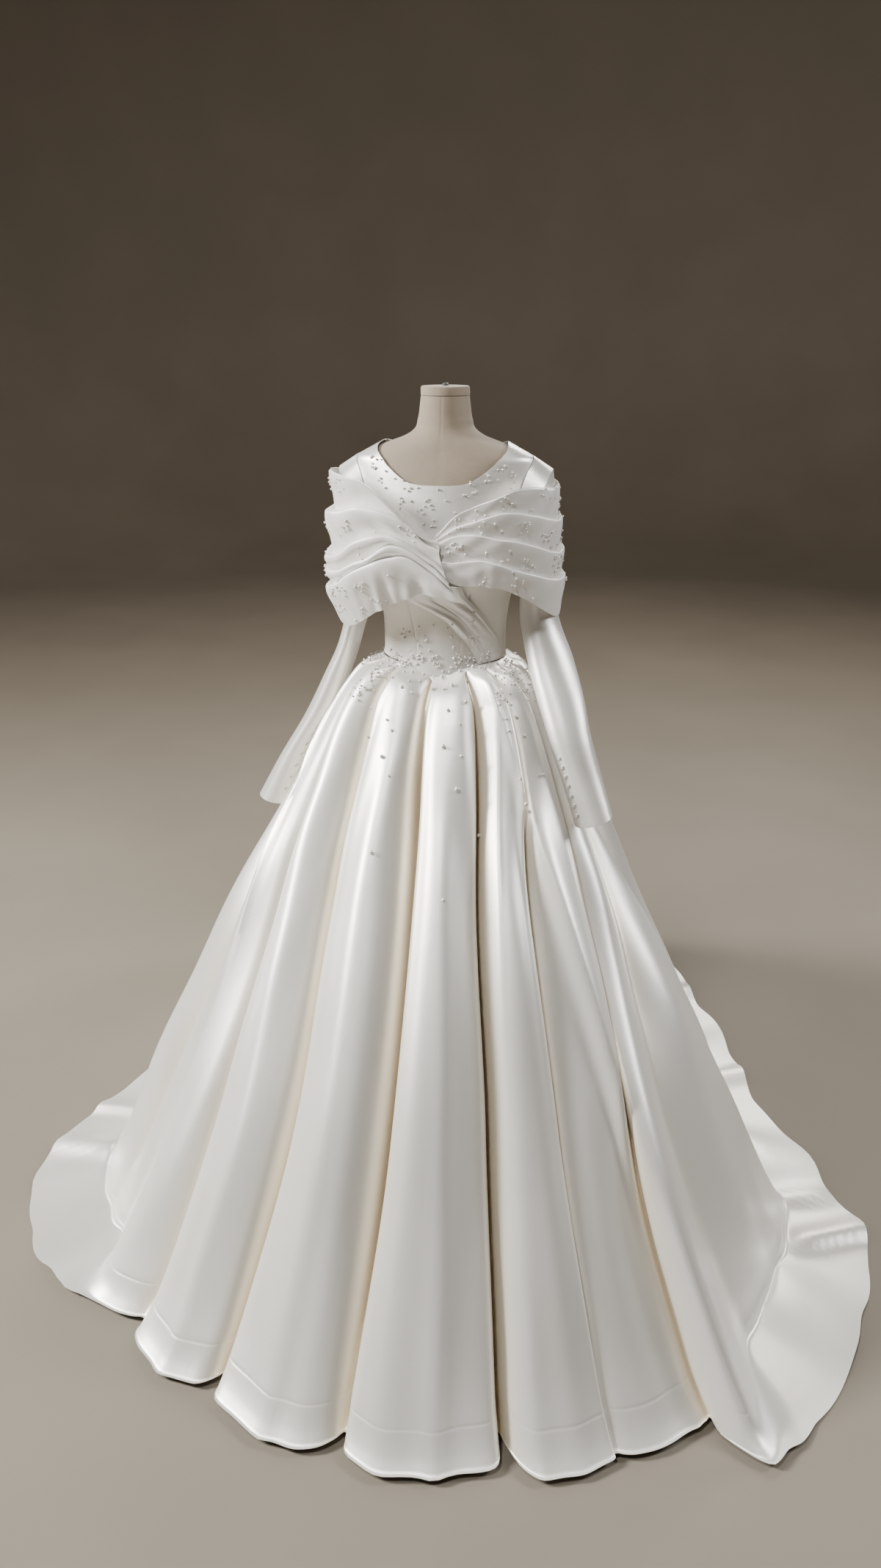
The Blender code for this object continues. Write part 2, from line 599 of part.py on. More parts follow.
def build_skirt():
    levels = np.arange(len(SKIRT_ROWS), dtype=float)
    for name, first, last in GORES:
        places = fold_places(first, last)
        fold = places[:, None] + np.zeros(len(levels))
        level = levels[None, :] + np.zeros(len(places))[:, None]
        outer = skirt_point(fold, level)
        normal = normals_of(outer)
        if np.mean(np.sum(normal[:, 2:8] * outer[:, 2:8], axis=-1)) < 0:
            normal = -normal
        inner = outer - normal * CLOTH
        rests = outer[..., 2] <= CLOTH + 1e-6
        inner[rests] = outer[rests] - np.array([0.0, 0.0, CLOTH])
        inner[..., 2] = np.maximum(inner[..., 2], 0.0)
        top = outer[:, 0].copy()
        inner[:, 0] = top - normal[:, 0] * np.array([1.0, 1.0, 0.0]) * CLOTH
        for row, side in ((0, 1.0), (-1, -1.0)):
            radial = outer[row, :, :2] / np.linalg.norm(outer[row, :, :2], axis=-1, keepdims=True)
            way = np.stack([-radial[:, 1], radial[:, 0]], axis=-1) * side
            inner[row, :, :2] = outer[row, :, :2] - radial * CLOTH
            steep = np.clip(1.0 - (outer[row, :, 2] - CLOTH) / LOW_EDGE, 0.0, 1.0)[:, None]
            inner[row, :, :2] += radial * CLOTH * steep
            inner[row, :, 2] = np.minimum(outer[row, :, 2], outer[row, :, 2] - CLOTH * steep[:, 0])
            inner[row, 0, 2] = outer[row, 0, 2]
            outer[row, :, :2] += way * SEAM_GAP / 2
            inner[row, :, :2] += way * SEAM_GAP / 2
        outer[:, 0, 2] -= WAIST_GAP
        inner[:, 0, 2] = outer[:, 0, 2]
        shell(name, outer, inner, SATIN)


def sleeve_point(rows, turn, place):
    """Point of a right sleeve's outer face; place 0 is the armhole and counts along the rings."""
    keyed = [(index + 1.0, *row) for index, row in enumerate(rows)]
    read = table(keyed, np.maximum(place, 1.0))
    far = read[..., 0:3]
    near = read[..., 3:6]
    deep = read[..., 6:7]
    way = far - near
    front = np.stack([way[..., 1], -way[..., 0], np.zeros_like(way[..., 0])], axis=-1)
    front = front / np.linalg.norm(front, axis=-1, keepdims=True)
    cosine = np.cos(turn)[..., None]
    sine = np.sin(turn)[..., None]
    ring = (far + near) / 2 + way / 2 * cosine + front * deep * sine
    edge_z = ARM_CENTRE_Z + ARM_HALF_Z * np.cos(turn)
    edge = body_point(90.0 - ARM_WIDE_DEG * np.sin(turn), edge_z, FORM_CLEAR + CLOTH)
    edge = edge + np.array([ARM_GAP, 0.0, 0.0])
    share = np.clip(1.0 - place, 0.0, 1.0)[..., None]
    return edge * share + ring * (1.0 - share)


def build_sleeve(name, rows, side):
    count = 18
    turn = np.linspace(0.0, 2 * math.pi, count, endpoint=False)
    places = np.array([0.0, 0.3, 0.65, 1.0, 2.0, 3.0, 4.0, 5.0, 6.0, 7.0, 8.0, 9.0, 10.0])
    outer = sleeve_point(rows, turn[:, None] + np.zeros(len(places)), places[None, :] + np.zeros((count, 1)))
    normal = normals_of(outer, around=True)
    middle = outer.mean(axis=0, keepdims=True)
    if np.mean(np.sum(normal * (outer - middle), axis=-1)) < 0:
        normal = -normal
    inner = outer - normal * CLOTH
    mirror = np.array([side, 1.0, 1.0])
    shell(name, outer * mirror, inner * mirror, SATIN, around=True)
    return outer * mirror


def button(name, centre, normal, kind):
    """Small domed button standing just off the cloth."""
    normal = normal / np.linalg.norm(normal)
    up = np.array([0.0, 0.0, 1.0])
    across = np.cross(up, normal)
    across = across / np.linalg.norm(across)
    other = np.cross(normal, across)
    angle = np.linspace(0.0, 2 * math.pi, 8, endpoint=False)
    rings = []
    for radius, height in BUTTON_RINGS:
        ring = centre + normal * (height * BUTTON_HEIGHT)
        ring = ring + np.outer(np.cos(angle), across) * radius * BUTTON_RADIUS
        ring = ring + np.outer(np.sin(angle), other) * radius * BUTTON_RADIUS
        rings.append(ring)
    turned(name, rings, kind)


def on_facet(grid, column, row):
    """Middle of a facet's width at a place along it, with the way out of the cloth."""
    low = int(row)
    part = row - low
    left = grid[column, low] * (1.0 - part) + grid[column, low + 1] * part
    right = grid[column + 1, low] * (1.0 - part) + grid[column + 1, low + 1] * part
    run = grid[column, low + 1] + grid[column + 1, low + 1] - grid[column, low] - grid[column + 1, low]
    out = np.cross(right - left, run)
    return (left + right) / 2, out / np.linalg.norm(out)


def build_buttons(sleeves, back):
    for name, grid in sleeves.items():
        for index in range(CUFF_BUTTONS):
            row = CUFF_FIRST_ROW + index * CUFF_ROW_STEP
            centre, out = on_facet(grid, CUFF_COLUMN, row)
            inside = grid[:, int(row)].mean(axis=0)
            if np.dot(out, centre - inside) < 0:
                out = -out
            button(f"cuff_button_{name}_{index + 1}", centre + out * BUTTON_GAP, out, BUTTON_CLOTH)
    for index in range(BACK_BUTTONS):
        centre, out = on_facet(back, 0, BACK_FIRST_ROW + index * BACK_ROW_STEP)
        if out[1] < 0:
            out = -out
        button(f"back_button_{index + 1}", centre + out * BUTTON_GAP, out, BUTTON_CLOTH)


def wrap_point(rows, angle, across, side):
    """Point of the wrap's outer face: angle from the front, across 0 at the top and 1 at the bottom."""
    top, low, wide, deep, step = np.moveaxis(table(rows, angle), -1, 0)
    turn = np.radians(angle)
    strip = across * WRAP_FOLDS
    inside = 1.0 - (strip - np.floor(np.minimum(strip, WRAP_FOLDS - 1e-6)))
    rise = np.where(inside < WRAP_TURN, inside / WRAP_TURN, (1.0 - inside) / (1.0 - WRAP_TURN))
    rise = np.where(across < 0.001, 0.75, rise)
    lift = step / 1000.0 * np.sin(np.clip(rise, 0.0, 1.0) * math.pi / 2)
    shrink = 1.0 - WRAP_TOP_IN * (1.0 - across) ** 2 - (WRAP_LOW_IN * across**3 if side < 0 else 0.0)
    drop = 0.25 * (across - 0.35) * step / 1000.0
    sine = np.abs(np.sin(turn)) ** (2.0 / WRAP_POWER) * np.sign(np.sin(turn))
    cosine = np.abs(np.cos(turn)) ** (2.0 / WRAP_POWER) * np.sign(np.cos(turn))
    x = wide * shrink * sine
    y = -deep * shrink * cosine
    nx = np.sin(turn)
    ny = -np.cos(turn)
    off = lift + drop
    z = top + (low - top) * across
    return np.stack([side * (x + nx * off), y + ny * off, z], axis=-1)


def wrap_across():
    places = []
    for strip in range(WRAP_FOLDS):
        for part in WRAP_STRIP:
            places.append((strip + part) / WRAP_FOLDS)
    places.append(1.0)
    return np.array(places)


def build_wrap():
    across = wrap_across()
    for name, rows, side in (("wrap_right", WRAP_RIGHT, 1.0), ("wrap_left", WRAP_LEFT, -1.0)):
        angles = np.concatenate([np.linspace(*span) for span in WRAP_COLUMNS])
        begins = table(CROSSING_RIGHT if side > 0 else CROSSING_LEFT, across)[:, 0]
        fade = np.clip(1.0 - angles / WRAP_COLUMNS[0][1], 0.0, 1.0)[:, None]
        grid_angle = angles[:, None] + begins[None, :] * fade
        grid_across = across[None, :] + np.zeros((len(angles), 1))
        outer = wrap_point(rows, grid_angle, grid_across, side)
        outer[-1, :, 0] = side * SEAM_GAP / 2
        normal = normals_of(outer)
        if np.mean(np.sum(normal[..., :2] * outer[..., :2], axis=-1)) < 0:
            normal = -normal
        inner = outer - normal * CLOTH
        inner[-1, :, 0] = side * SEAM_GAP / 2
        shell(name, outer, inner, WRAP_CLOTH)


def bodice_depth(x, z):
    """How far the bodice's outer face stands in front of the axis at this x and height."""
    wide, front, back = np.moveaxis(table(FORM, z), -1, 0)
    share = np.clip(np.abs(x) / (wide + FORM_CLEAR + CLOTH), 0.0, 0.995)
    return (front + FORM_CLEAR + CLOTH) * np.sqrt(1.0 - share * share)


def tail_point(along, across):
    """Point of the tail's outer face: along from the crossing to the waist, across from its upper edge."""
    keyed = [(float(index), *row) for index, row in enumerate(TAIL)]
    high_x, high_z, low_x, low_z, off = np.moveaxis(table(keyed, along), -1, 0)
    x = high_x + (low_x - high_x) * across
    z = high_z + (low_z - high_z) * across
    crease = 0.005 * np.sin(np.clip(across / 0.62, 0.0, 1.0) * math.pi) * (along < 5.9)
    y = -(bodice_depth(x, z) + off + CLOTH + crease)
    return np.stack([x, y, z], axis=-1)


def build_tail():
    along = np.linspace(0.0, len(TAIL) - 1.0, 10)
    across = np.array([0.0, 0.16, 0.34, 0.52, 0.66, 0.84, 1.0])
    grid_along = along[:, None] + np.zeros(len(across))
    grid_across = across[None, :] + np.zeros((len(along), 1))
    outer = tail_point(grid_along, grid_across)
    normal = normals_of(outer)
    if np.mean(normal[..., 1]) > 0:
        normal = -normal
    shell("wrap_tail", outer, outer - normal * CLOTH, WRAP_CLOTH)


def main():
    for old in list(bpy.data.objects):
        bpy.data.objects.remove(old, do_unlink=True)
    build_form()
    panels = build_bodice()
    build_skirt()
    sleeves = {
        "right": build_sleeve("sleeve_right", SLEEVE_RIGHT, 1.0),
        "left": build_sleeve("sleeve_left", SLEEVE_LEFT, -1.0),
    }
    build_buttons(sleeves, panels["bodice_back_right"])
    build_wrap()
    build_tail()


main()
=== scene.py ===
"""Looks of a white satin wedding dress on a limbless dress form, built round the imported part.

Metres, +Z up, the front faces -Y. Most tables are the part's own, sampled more finely here. The fold
slots of the skirt are deeper than the part's, and its lobes are rounder, lap a little and have finer
waves and creases.
"""

import math

import bpy
import numpy as np
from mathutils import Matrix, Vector
from mathutils.bvhtree import BVHTree


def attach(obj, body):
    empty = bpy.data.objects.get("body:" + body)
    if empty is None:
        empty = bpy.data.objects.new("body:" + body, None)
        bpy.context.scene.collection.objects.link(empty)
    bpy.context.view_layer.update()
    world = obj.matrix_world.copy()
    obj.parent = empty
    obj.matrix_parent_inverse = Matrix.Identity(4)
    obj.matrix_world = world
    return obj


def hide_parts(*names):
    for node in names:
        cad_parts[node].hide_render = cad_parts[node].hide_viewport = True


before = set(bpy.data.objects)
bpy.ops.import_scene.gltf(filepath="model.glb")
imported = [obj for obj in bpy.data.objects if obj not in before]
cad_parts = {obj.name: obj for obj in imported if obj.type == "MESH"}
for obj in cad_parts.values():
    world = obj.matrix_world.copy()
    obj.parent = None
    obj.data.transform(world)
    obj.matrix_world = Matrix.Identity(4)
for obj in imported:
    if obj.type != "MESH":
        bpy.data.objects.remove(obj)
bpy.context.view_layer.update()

rng = np.random.RandomState(11)

# Metres and degrees. CLOTH is the part's wall and THIN the cloth that shows here.
CLOTH = 0.0022
THIN = 0.0013
SEAM_GAP = 0.0004
ARM_GAP = 0.0014
FORM_CLEAR = 0.0014
FORM_IN = 0.0024
NECK_TOP = 1.616
PANEL_EDGE = 36.0
ARM_CENTRE_Z = 1.4425
ARM_HALF_Z = 0.0645
ARM_WIDE_DEG = 25.0
SEAM_SIDE_Z = 1.121
SEAM_DIP = 0.024
SEAM_DIP_DEG = 30.0
TRAIN_RIDGE = 0.013
HEM_CLEAR = 0.012
RIPPLE = 0.022
SEEN_GAP = 0.0001
RIM_BULGE = 0.2
SEAM_PRESSED = 0.0013
SEAM_PRESSED_DEG = 0.75
TRAIN_FROM_DEG = 37.5
TRAIN_BLEND_DEG = 12.0
FLOOR_CLEAR = 0.0002
NEAR_FLOOR = 0.004


def in_thousandths(rows, *whole):
    """A table that is written in thousandths, such as mm, but for its whole columns."""
    rows = np.array(rows, float)
    parts = [column for column in range(rows.shape[1]) if column not in whole]
    rows[:, parts] /= 1000.0
    return rows


# Form sections in mm: height, half width, depth to the front, depth to the back.
FORM = in_thousandths((
    (900, 150, 95, 112), (925, 166, 107, 124), (960, 169, 109, 124), (1030, 152, 102, 110),
    (1090, 131, 91, 91), (1140, 119, 83, 79), (1190, 120, 85, 78), (1250, 129, 99, 82),
    (1300, 138, 120, 86), (1340, 143, 125, 90), (1390, 149, 110, 95), (1440, 158, 96, 97),
    (1480, 166, 84, 93), (1500, 168, 76, 87), (1512, 160, 71, 81), (1524, 138, 66, 75),
    (1535, 108, 62, 69), (1545, 80, 58, 64), (1556, 62, 54, 59), (1575, 54, 50, 54), (1600, 50, 47, 50),
    (1616, 48, 45, 48),
))

# Neckline: angle from the front in degrees, height of the top edge in mm.
NECKLINE = in_thousandths((
    (0, 1462), (12, 1463), (20, 1467), (27, 1477), (34, 1491), (43, 1507), (54, 1518), (70, 1527),
    (90, 1531), (110, 1530), (135, 1524), (180, 1512),
), 0)

# Skirt rows in thousandths: height and share of the way out to the hem, first for the front, then for
# the train.
SKIRT_ROWS = in_thousandths((
    (1000, 0, 1000, 0), (984, 45, 984, 45), (945, 90, 945, 92), (885, 142, 885, 145),
    (800, 214, 800, 214), (690, 318, 690, 305), (555, 445, 550, 412), (415, 572, 405, 520),
    (285, 690, 268, 620), (175, 795, 140, 705), (100, 870, 58, 762), (52, 925, 14, 798),
    (28, 956, 0, 838), (10, 986, 0, 1000),
))

# Hem outline: angle from the front in degrees, distance from the axis in mm.
HEM = in_thousandths((
    (-180, 1030), (-165, 1005), (-150, 940), (-130, 830), (-110, 745), (-93, 740), (-86, 775),
    (-80.5, 822), (-75.7, 860), (-69.7, 898), (-61.4, 937), (-52.3, 957), (-46, 935), (-38, 905),
    (-32, 900), (-25, 915), (-20, 930), (-12, 948), (-2, 955), (3, 972), (14, 978), (20, 992),
    (30, 978), (36, 995), (39.5, 1085), (45.8, 1070), (55.9, 1028), (67.5, 988), (75, 955), (79, 880),
    (85, 836), (92, 780), (110, 750), (130, 830), (150, 945), (165, 1010), (180, 1030),
), 0)

# Skirt folds, alternately valley and ridge, from the centre back round by the left to the centre back:
# angle at the waist, the thigh, the shin and the hem, the depth in mm there, and how sharp the fold is.
FOLDS = (
    (-180, -180, -180, -180, -10, -26, -38, -10, 2.2),
    (-169, -169, -170, -171, 9, 19, 27, 9, 2.2),
    (-158, -158, -160, -160, -9, -24, -33, -10, 2.2),
    (-147, -147, -148, -147, 10, 22, 31, 10, 2.2),
    (-136, -134, -133, -132, -8, -20, -30, -8, 2.2),
    (-126, -123, -120, -118, 9, 18, 26, 9, 2.2),
    (-116, -112, -108, -105, -9, -19, -27, -8, 2.2),
    (-107, -101, -95, -92, 8, 15, 21, 8, 2.2),
    (-98, -90, -82, -79, -8, -15, -20, -8, 2.1),
    (-90, -80, -71, -67, 8, 14, 19, 8, 2.1),
    (-82, -69, -59, -55, -12, -24, -30, -10, 2.4),
    (-75, -58, -47, -44, 11, 13, 16, 8, 2.3),
    (-66, -49, -37, -32, -24, -34, -34, -30, 3.0),
    (-56, -41, -28, -25, 11, 15, 13, 5, 2.4),
    (-45, -33, -20, -18.3, -30, -72, -96, -78, 3.6),
    (-26, -17, -10, -9, 8, 13, 10, 3, 2.4),
    (-8, -2.5, -1, -2.2, -34, -64, -66, -50, 3.4),
    (12, 9, 8, 7, 8, 12, 10, 3, 2.4),
    (33, 22.5, 18, 16.1, -30, -68, -88, -86, 3.6),
    (41, 29, 23, 21, 11, 11, 8, 4, 2.4),
    (50, 36, 29, 27, -26, -34, -22, -10, 3.0),
    (57, 45, 34, 32, 9, 2, 13, 5, 2.2),
    (64, 54, 38.8, 36.8, -26, -58, -62, -52, 3.0),
    (70, 61, 43.5, 40.5, 6, -26, 4, 6, 2.2),
    (77, 68, 50, 46, -8, -40, -16, -5, 2.2),
    (84, 77, 62, 58, 4, -22, 14, 8, 2.2),
    (92, 87, 76, 71, -8, -20, -18, -6, 2.1),
    (101, 98, 91, 85, 8, 16, 21, 8, 2.1),
    (110, 108, 105, 101, -9, -18, -25, -8, 2.2),
    (120, 119, 118, 116, 9, 20, 28, 9, 2.2),
    (131, 131, 131, 131, -9, -21, -31, -9, 2.2),
    (143, 143, 144, 145, 9, 22, 29, 10, 2.2),
    (155, 156, 157, 158, -9, -23, -35, -9, 2.2),
    (168, 168, 169, 170, 10, 20, 28, 10, 2.2),
    (180, 180, 180, 180, -10, -26, -38, -10, 2.2),
)
FOLD_HEIGHTS = (0.95, 0.72, 0.36, 0.02)
CRISP_FOLD = 2.9
SLOT_SHARE = 0.06

# A fold's course from its valley (0) to its ridge (1): how far the valley is rounded, if crisp or soft.
# For crisp ones, how square the lobe is at the waist, how much more so at the floor, the power of its
# side, and the height, place and width of the rolled edge beside the slot.
VALLEY_EASE = (0.020, 0.09)
LOBE_FLAT = 2.0
LOBE_FLATTER = 1.3
LOBE_POWER = 0.69
ROLL_HEIGHT = 0.038
ROLL_AT = 0.22
ROLL_WIDTH = 0.11

# Levels count the rows of SKIRT_ROWS: where the folds are full and where the hem's stitch line runs.
FOLDS_FULL_LEVEL = 1.1
HEM_LINE_LEVEL = 11.05
HEM_LINE_WIDTH = 0.045
HEM_LINE_DEPTH = 0.0006

# How many metres the cloth beside a fold laps over it: more than 0 where the side towards the next fold laps.
LAPS = {4: 0.040, 12: 0.050, 14: 0.095, 16: 0.085, 18: -0.085, 20: -0.050, 22: 0.060, 30: -0.040}

# Rolled edges that run down beside a fold: fold, then in mm the distance from it, height and width.
FLUTES = in_thousandths((
    (11, -13, 9.5, 6.2), (11, 12, 9, 6), (11, 0, -6, 4.5), (20, -15, 9.5, 7), (22, -15, 8, 7),
    (14, 19, 5.5, 8), (16, 16, 5, 6.5), (18, 17, 6, 7), (24, -12, 6, 6), (6, 13, 5, 5.5),
    (28, -13, 5, 5.5), (33, 12, 4.5, 5),
), 0)

# Broad soft waves inside the lobes: fold, then in mm the distance from it at the waist and at the hem,
# height and width.
DRAPES = in_thousandths((
    (11, -20, -50, -7, 30), (13, -40, -75, 7.5, 34), (13, 30, 60, -8, 36), (15, -20, -80, -8.5, 36),
    (15, 30, 55, 6, 34), (17, -35, -70, 6.5, 30), (17, 20, 70, -8.5, 36), (19, 10, 30, 6, 28),
    (21, -10, 40, -7.5, 32), (23, 15, -45, 7, 32), (25, 10, 50, -8, 40), (9, 0, 45, 7, 34),
    (7, 20, -35, -7, 36), (27, -15, 35, 7, 36), (29, 25, -30, -7, 40), (31, -20, 30, 7, 36),
    (33, 20, -40, -7, 38), (1, -30, 35, -7, 38), (3, 20, -35, 7, 36), (5, -20, 45, -7, 38),
    (15, 10, -15, 5.5, 18), (17, -5, 22, 6, 18), (13, -5, 10, 5.5, 18), (19, -20, -45, 5.5, 18),
    (23, 45, 20, -6, 20), (11, 15, 25, 5, 18),
), 0)

# Creases of the train where it lies, in mm: start x, y, end x, y, height, width.
CREASES = in_thousandths((
    (-860, -150, -690, -152, 14, 16), (-870, -292, -660, -312, 17, 20), (740, -208, 850, -180, 12, 16),
    (755, -338, 935, -258, 16, 20), (-760, 300, -600, 200, 12, 22), (780, 280, 610, 190, 13, 20),
    (-420, 900, -330, 700, 15, 20), (350, 960, 270, 730, 16, 22), (-50, 1000, -20, 790, 13, 18),
    (620, 640, 500, 520, 14, 20), (-640, 590, -520, 480, 13, 18),
))

# Skirt gores: name, first fold, last fold (the seams lie in the valleys), flat cut: width, length, area.
GORES = (
    ("skirt_back_left", 0, 6, 1.20, 1.62, 0.98),
    ("skirt_side_left", 6, 10, 0.80, 1.45, 0.58),
    ("skirt_front_left", 10, 14, 0.80, 1.42, 0.62),
    ("skirt_centre_front", 14, 18, 0.95, 1.40, 0.69),
    ("skirt_front_right", 18, 22, 0.75, 1.42, 0.49),
    ("skirt_side_right", 22, 28, 1.15, 1.48, 0.90),
    ("skirt_back_right", 28, 34, 1.20, 1.62, 1.02),
)

# Sleeve rings below the armhole in mm: outer point, inner point, half depth to the front.
SLEEVE_RIGHT = in_thousandths((
    (206, 2, 1486, 157, 2, 1374, 56), (213, 4, 1432, 158, 4, 1362, 56),
    (217, 4, 1380, 157.5, 4, 1335, 55), (219, 2, 1320, 156, 2, 1300, 53),
    (226, -4, 1212, 150, -4, 1230, 49), (262, -34, 1128, 163, -34, 1158, 45),
    (289, -86, 1061, 194, -86, 1067, 41), (306, -124, 1003, 221, -124, 1000, 38),
    (331, -151, 932, 254, -151, 922, 35), (357, -185, 863, 286, -185, 840, 32),
))
SLEEVE_LEFT = in_thousandths((
    (206, 2, 1486, 157, 2, 1374, 56), (212, 4, 1432, 158, 4, 1362, 56),
    (215, 6, 1380, 157.5, 6, 1335, 55), (213, 8, 1320, 156, 8, 1300, 54),
    (204, 10, 1220, 153, 10, 1235, 52), (221, 14, 1138, 174, 14, 1151, 47),
    (258, 18, 1060, 196, 18, 1083, 45), (305, 24, 969, 232, 24, 997, 42),
    (370, 36, 865, 295, 36, 893, 39), (426, 46, 767, 362, 46, 750, 35),
))

# Wrap over the shoulders: angle from the front, then in mm the height of the top edge and of the bottom
# edge, half width, depth and height of the fold steps, then in thousandths where the folds lie across.
WRAP_RIGHT = in_thousandths((
    (0.3, 1378, 1300, 232, 140, 3, 140, 240, 600), (6, 1410, 1290, 232, 141, 4, 180, 300, 690),
    (15, 1431, 1287, 232, 143, 5, 210, 370, 690), (26, 1446, 1283, 232, 144, 6, 200, 470, 750),
    (37, 1460, 1271, 230.2, 144, 7, 240, 510, 790), (50, 1464, 1250, 230.2, 142, 7, 260, 520, 770),
    (64, 1460, 1228, 230.2, 138, 6, 260, 515, 740), (78, 1457, 1214, 230.2, 134, 6, 265, 510, 720),
    (92, 1458, 1212, 230.2, 132, 6, 270, 510, 720), (108, 1462, 1222, 230.2, 130, 5, 270, 510, 720),
    (126, 1466, 1240, 229.2, 128, 5, 260, 500, 730), (146, 1466, 1256, 230, 127, 5, 250, 500, 740),
    (166, 1464, 1266, 229, 126, 5, 250, 500, 750), (180, 1463, 1268, 229, 126, 5, 250, 500, 750),
), 0, 5)
WRAP_LEFT = in_thousandths((
    (-12, 1362, 1250, 228, 152, 3, 300, 850, 900, 950),
    (-4, 1366, 1262, 228, 152, 5, 220, 550, 680, 800), (2, 1374, 1268, 228, 150, 7, 120, 330, 420, 550),
    (8, 1394, 1262, 228, 150, 9, 50, 275, 360, 470), (16, 1426, 1248, 228, 150, 12, 120, 320, 420, 550),
    (25, 1456, 1232, 228, 150, 14, 180, 400, 560, 620),
    (36, 1475, 1212, 228, 150, 15, 220, 465, 610, 670),
    (49, 1478, 1194, 225, 148, 15, 250, 530, 640, 710),
    (64, 1482, 1188, 226, 143, 14, 275, 560, 655, 760),
    (79, 1484, 1196, 228, 137, 12, 300, 590, 680, 800),
    (93, 1480, 1208, 228, 133, 10, 290, 580, 700, 820),
    (108, 1474, 1222, 228, 130, 8, 270, 560, 690, 820),
    (126, 1469, 1240, 227, 128, 6, 250, 530, 680, 820),
    (146, 1466, 1256, 229, 127, 5, 220, 500, 680, 820),
    (166, 1464, 1266, 229, 126, 5, 200, 480, 660, 820),
    (180, 1463, 1268, 229, 126, 5, 200, 480, 660, 820),
), 0, 5)
CROSSING_RIGHT = ((0.0, 0.5), (0.4, 0.9), (0.8, 6.2), (1.0, 7.4))
CROSSING_LEFT = ((0.0, 0.3), (0.25, -0.3), (0.6, -5.4), (1.0, -9.8))
WRAP_POWER = 2.5
LEFT_OVER = 1.8
RIGHT_UNDER = 7.0
WRAP_TOP_IN = 0.080
WRAP_LOW_IN = 0.050

# Tail of the wrap in mm: upper edge x, z, lower edge x, z, distance off the bodice.
TAIL = in_thousandths((
    (52, 1285, -56, 1285, 19.6), (58, 1262, -54, 1252, 12), (70, 1244, -20, 1232, 7),
    (85, 1223, 16, 1211, 7.5), (101, 1196, 40, 1184, 7.5), (114, 1168, 62, 1156, 5),
    (120, 1127, 79, 1119.5, 1.2),
))


def table(rows, at):
    """Smooth value of each column of a table, the first column being where it is read."""
    rows = np.array(rows, float)
    at = np.asarray(at, float)
    keys = rows[:, 0]
    slopes = np.gradient(rows[:, 1:], keys, axis=0)
    steps = np.diff(keys)
    rise = np.diff(rows[:, 1:], axis=0) / steps[:, None]
    flat = np.zeros_like(slopes, bool)
    flat[1:-1] = rise[1:] * rise[:-1] <= 0
    slopes[flat] = 0.0
    slopes[0] = rise[0]
    slopes[-1] = rise[-1]
    limit = np.minimum(
        np.abs(np.vstack([rise[:1], rise])), np.abs(np.vstack([rise, rise[-1:]]))
    )
    slopes = np.clip(slopes, -3 * limit, 3 * limit)
    place = np.clip(np.searchsorted(keys, at, side="right") - 1, 0, len(keys) - 2)
    step = steps[place]
    t = np.clip((at - keys[place]) / step, 0.0, 1.0)
    t2 = t * t
    t3 = t2 * t
    weights = (2 * t3 - 3 * t2 + 1, (t3 - 2 * t2 + t) * step, 3 * t2 - 2 * t3, (t3 - t2) * step)
    low = rows[:, 1:][place]
    high = rows[:, 1:][place + 1]
    parts = (low, slopes[place], high, slopes[place + 1])
    return sum(weight[..., None] * part for weight, part in zip(weights, parts))


def smooth_step(value):
    value = np.clip(value, 0.0, 1.0)
    return value * value * (3.0 - 2.0 * value)


def rise(value, start, span):
    """Smooth step from 0 at start to 1 at start plus span."""
    return smooth_step((value - start) / span)


def fall(value, start, span):
    """Smooth step from 1 at start less span to 0 at start."""
    return smooth_step((start - value) / span)


def bell(value, width):
    return np.exp(-((value / width) ** 2))


def unit(vectors):
    return vectors / np.maximum(np.linalg.norm(vectors, axis=-1, keepdims=True), 1e-12)


def body_point(angle_deg, z, off):
    """Point of the form's surface at an angle from the front and a height, moved out by off."""
    angle = np.radians(angle_deg)
    wide, front, back = np.moveaxis(table(FORM, z), -1, 0)
    above = np.moveaxis(table(FORM, np.asarray(z) + 0.002), -1, 0)
    below = np.moveaxis(table(FORM, np.asarray(z) - 0.002), -1, 0)
    share = 0.5 - 0.5 * np.cos(angle)
    depth = front + (back - front) * share
    grow_wide = (above[0] - below[0]) / 0.004
    x = wide * np.sin(angle)
    y = -depth * np.cos(angle)
    nx = np.sin(angle) / wide
    ny = -np.cos(angle) / depth
    length = np.hypot(nx, ny)
    nx = nx / length
    ny = ny / length
    nz = -grow_wide * np.abs(np.sin(angle)) - 0.5 * grow_wide * np.abs(np.cos(angle))
    norm = np.sqrt(1.0 + nz * nz)
    return np.stack(
        [x + off * nx / norm, y + off * ny / norm, z + off * nz / norm], axis=-1
    )


def normals_of(grid, around=False):
    if around:
        wide = np.concatenate([grid[-1:], grid, grid[:1]])
        du = (wide[2:] - wide[:-2]) / 2
    else:
        du = np.gradient(grid, axis=0)
    dv = np.gradient(grid, axis=1)
    return unit(np.cross(du, dv))


def outward(grid, around=False):
    """Normals of a grid, turned away from the vertical axis."""
    normal = normals_of(grid, around)
    if np.mean(np.sum(normal[..., :2] * grid[..., :2], axis=-1)) < 0:
        normal = -normal
    return normal


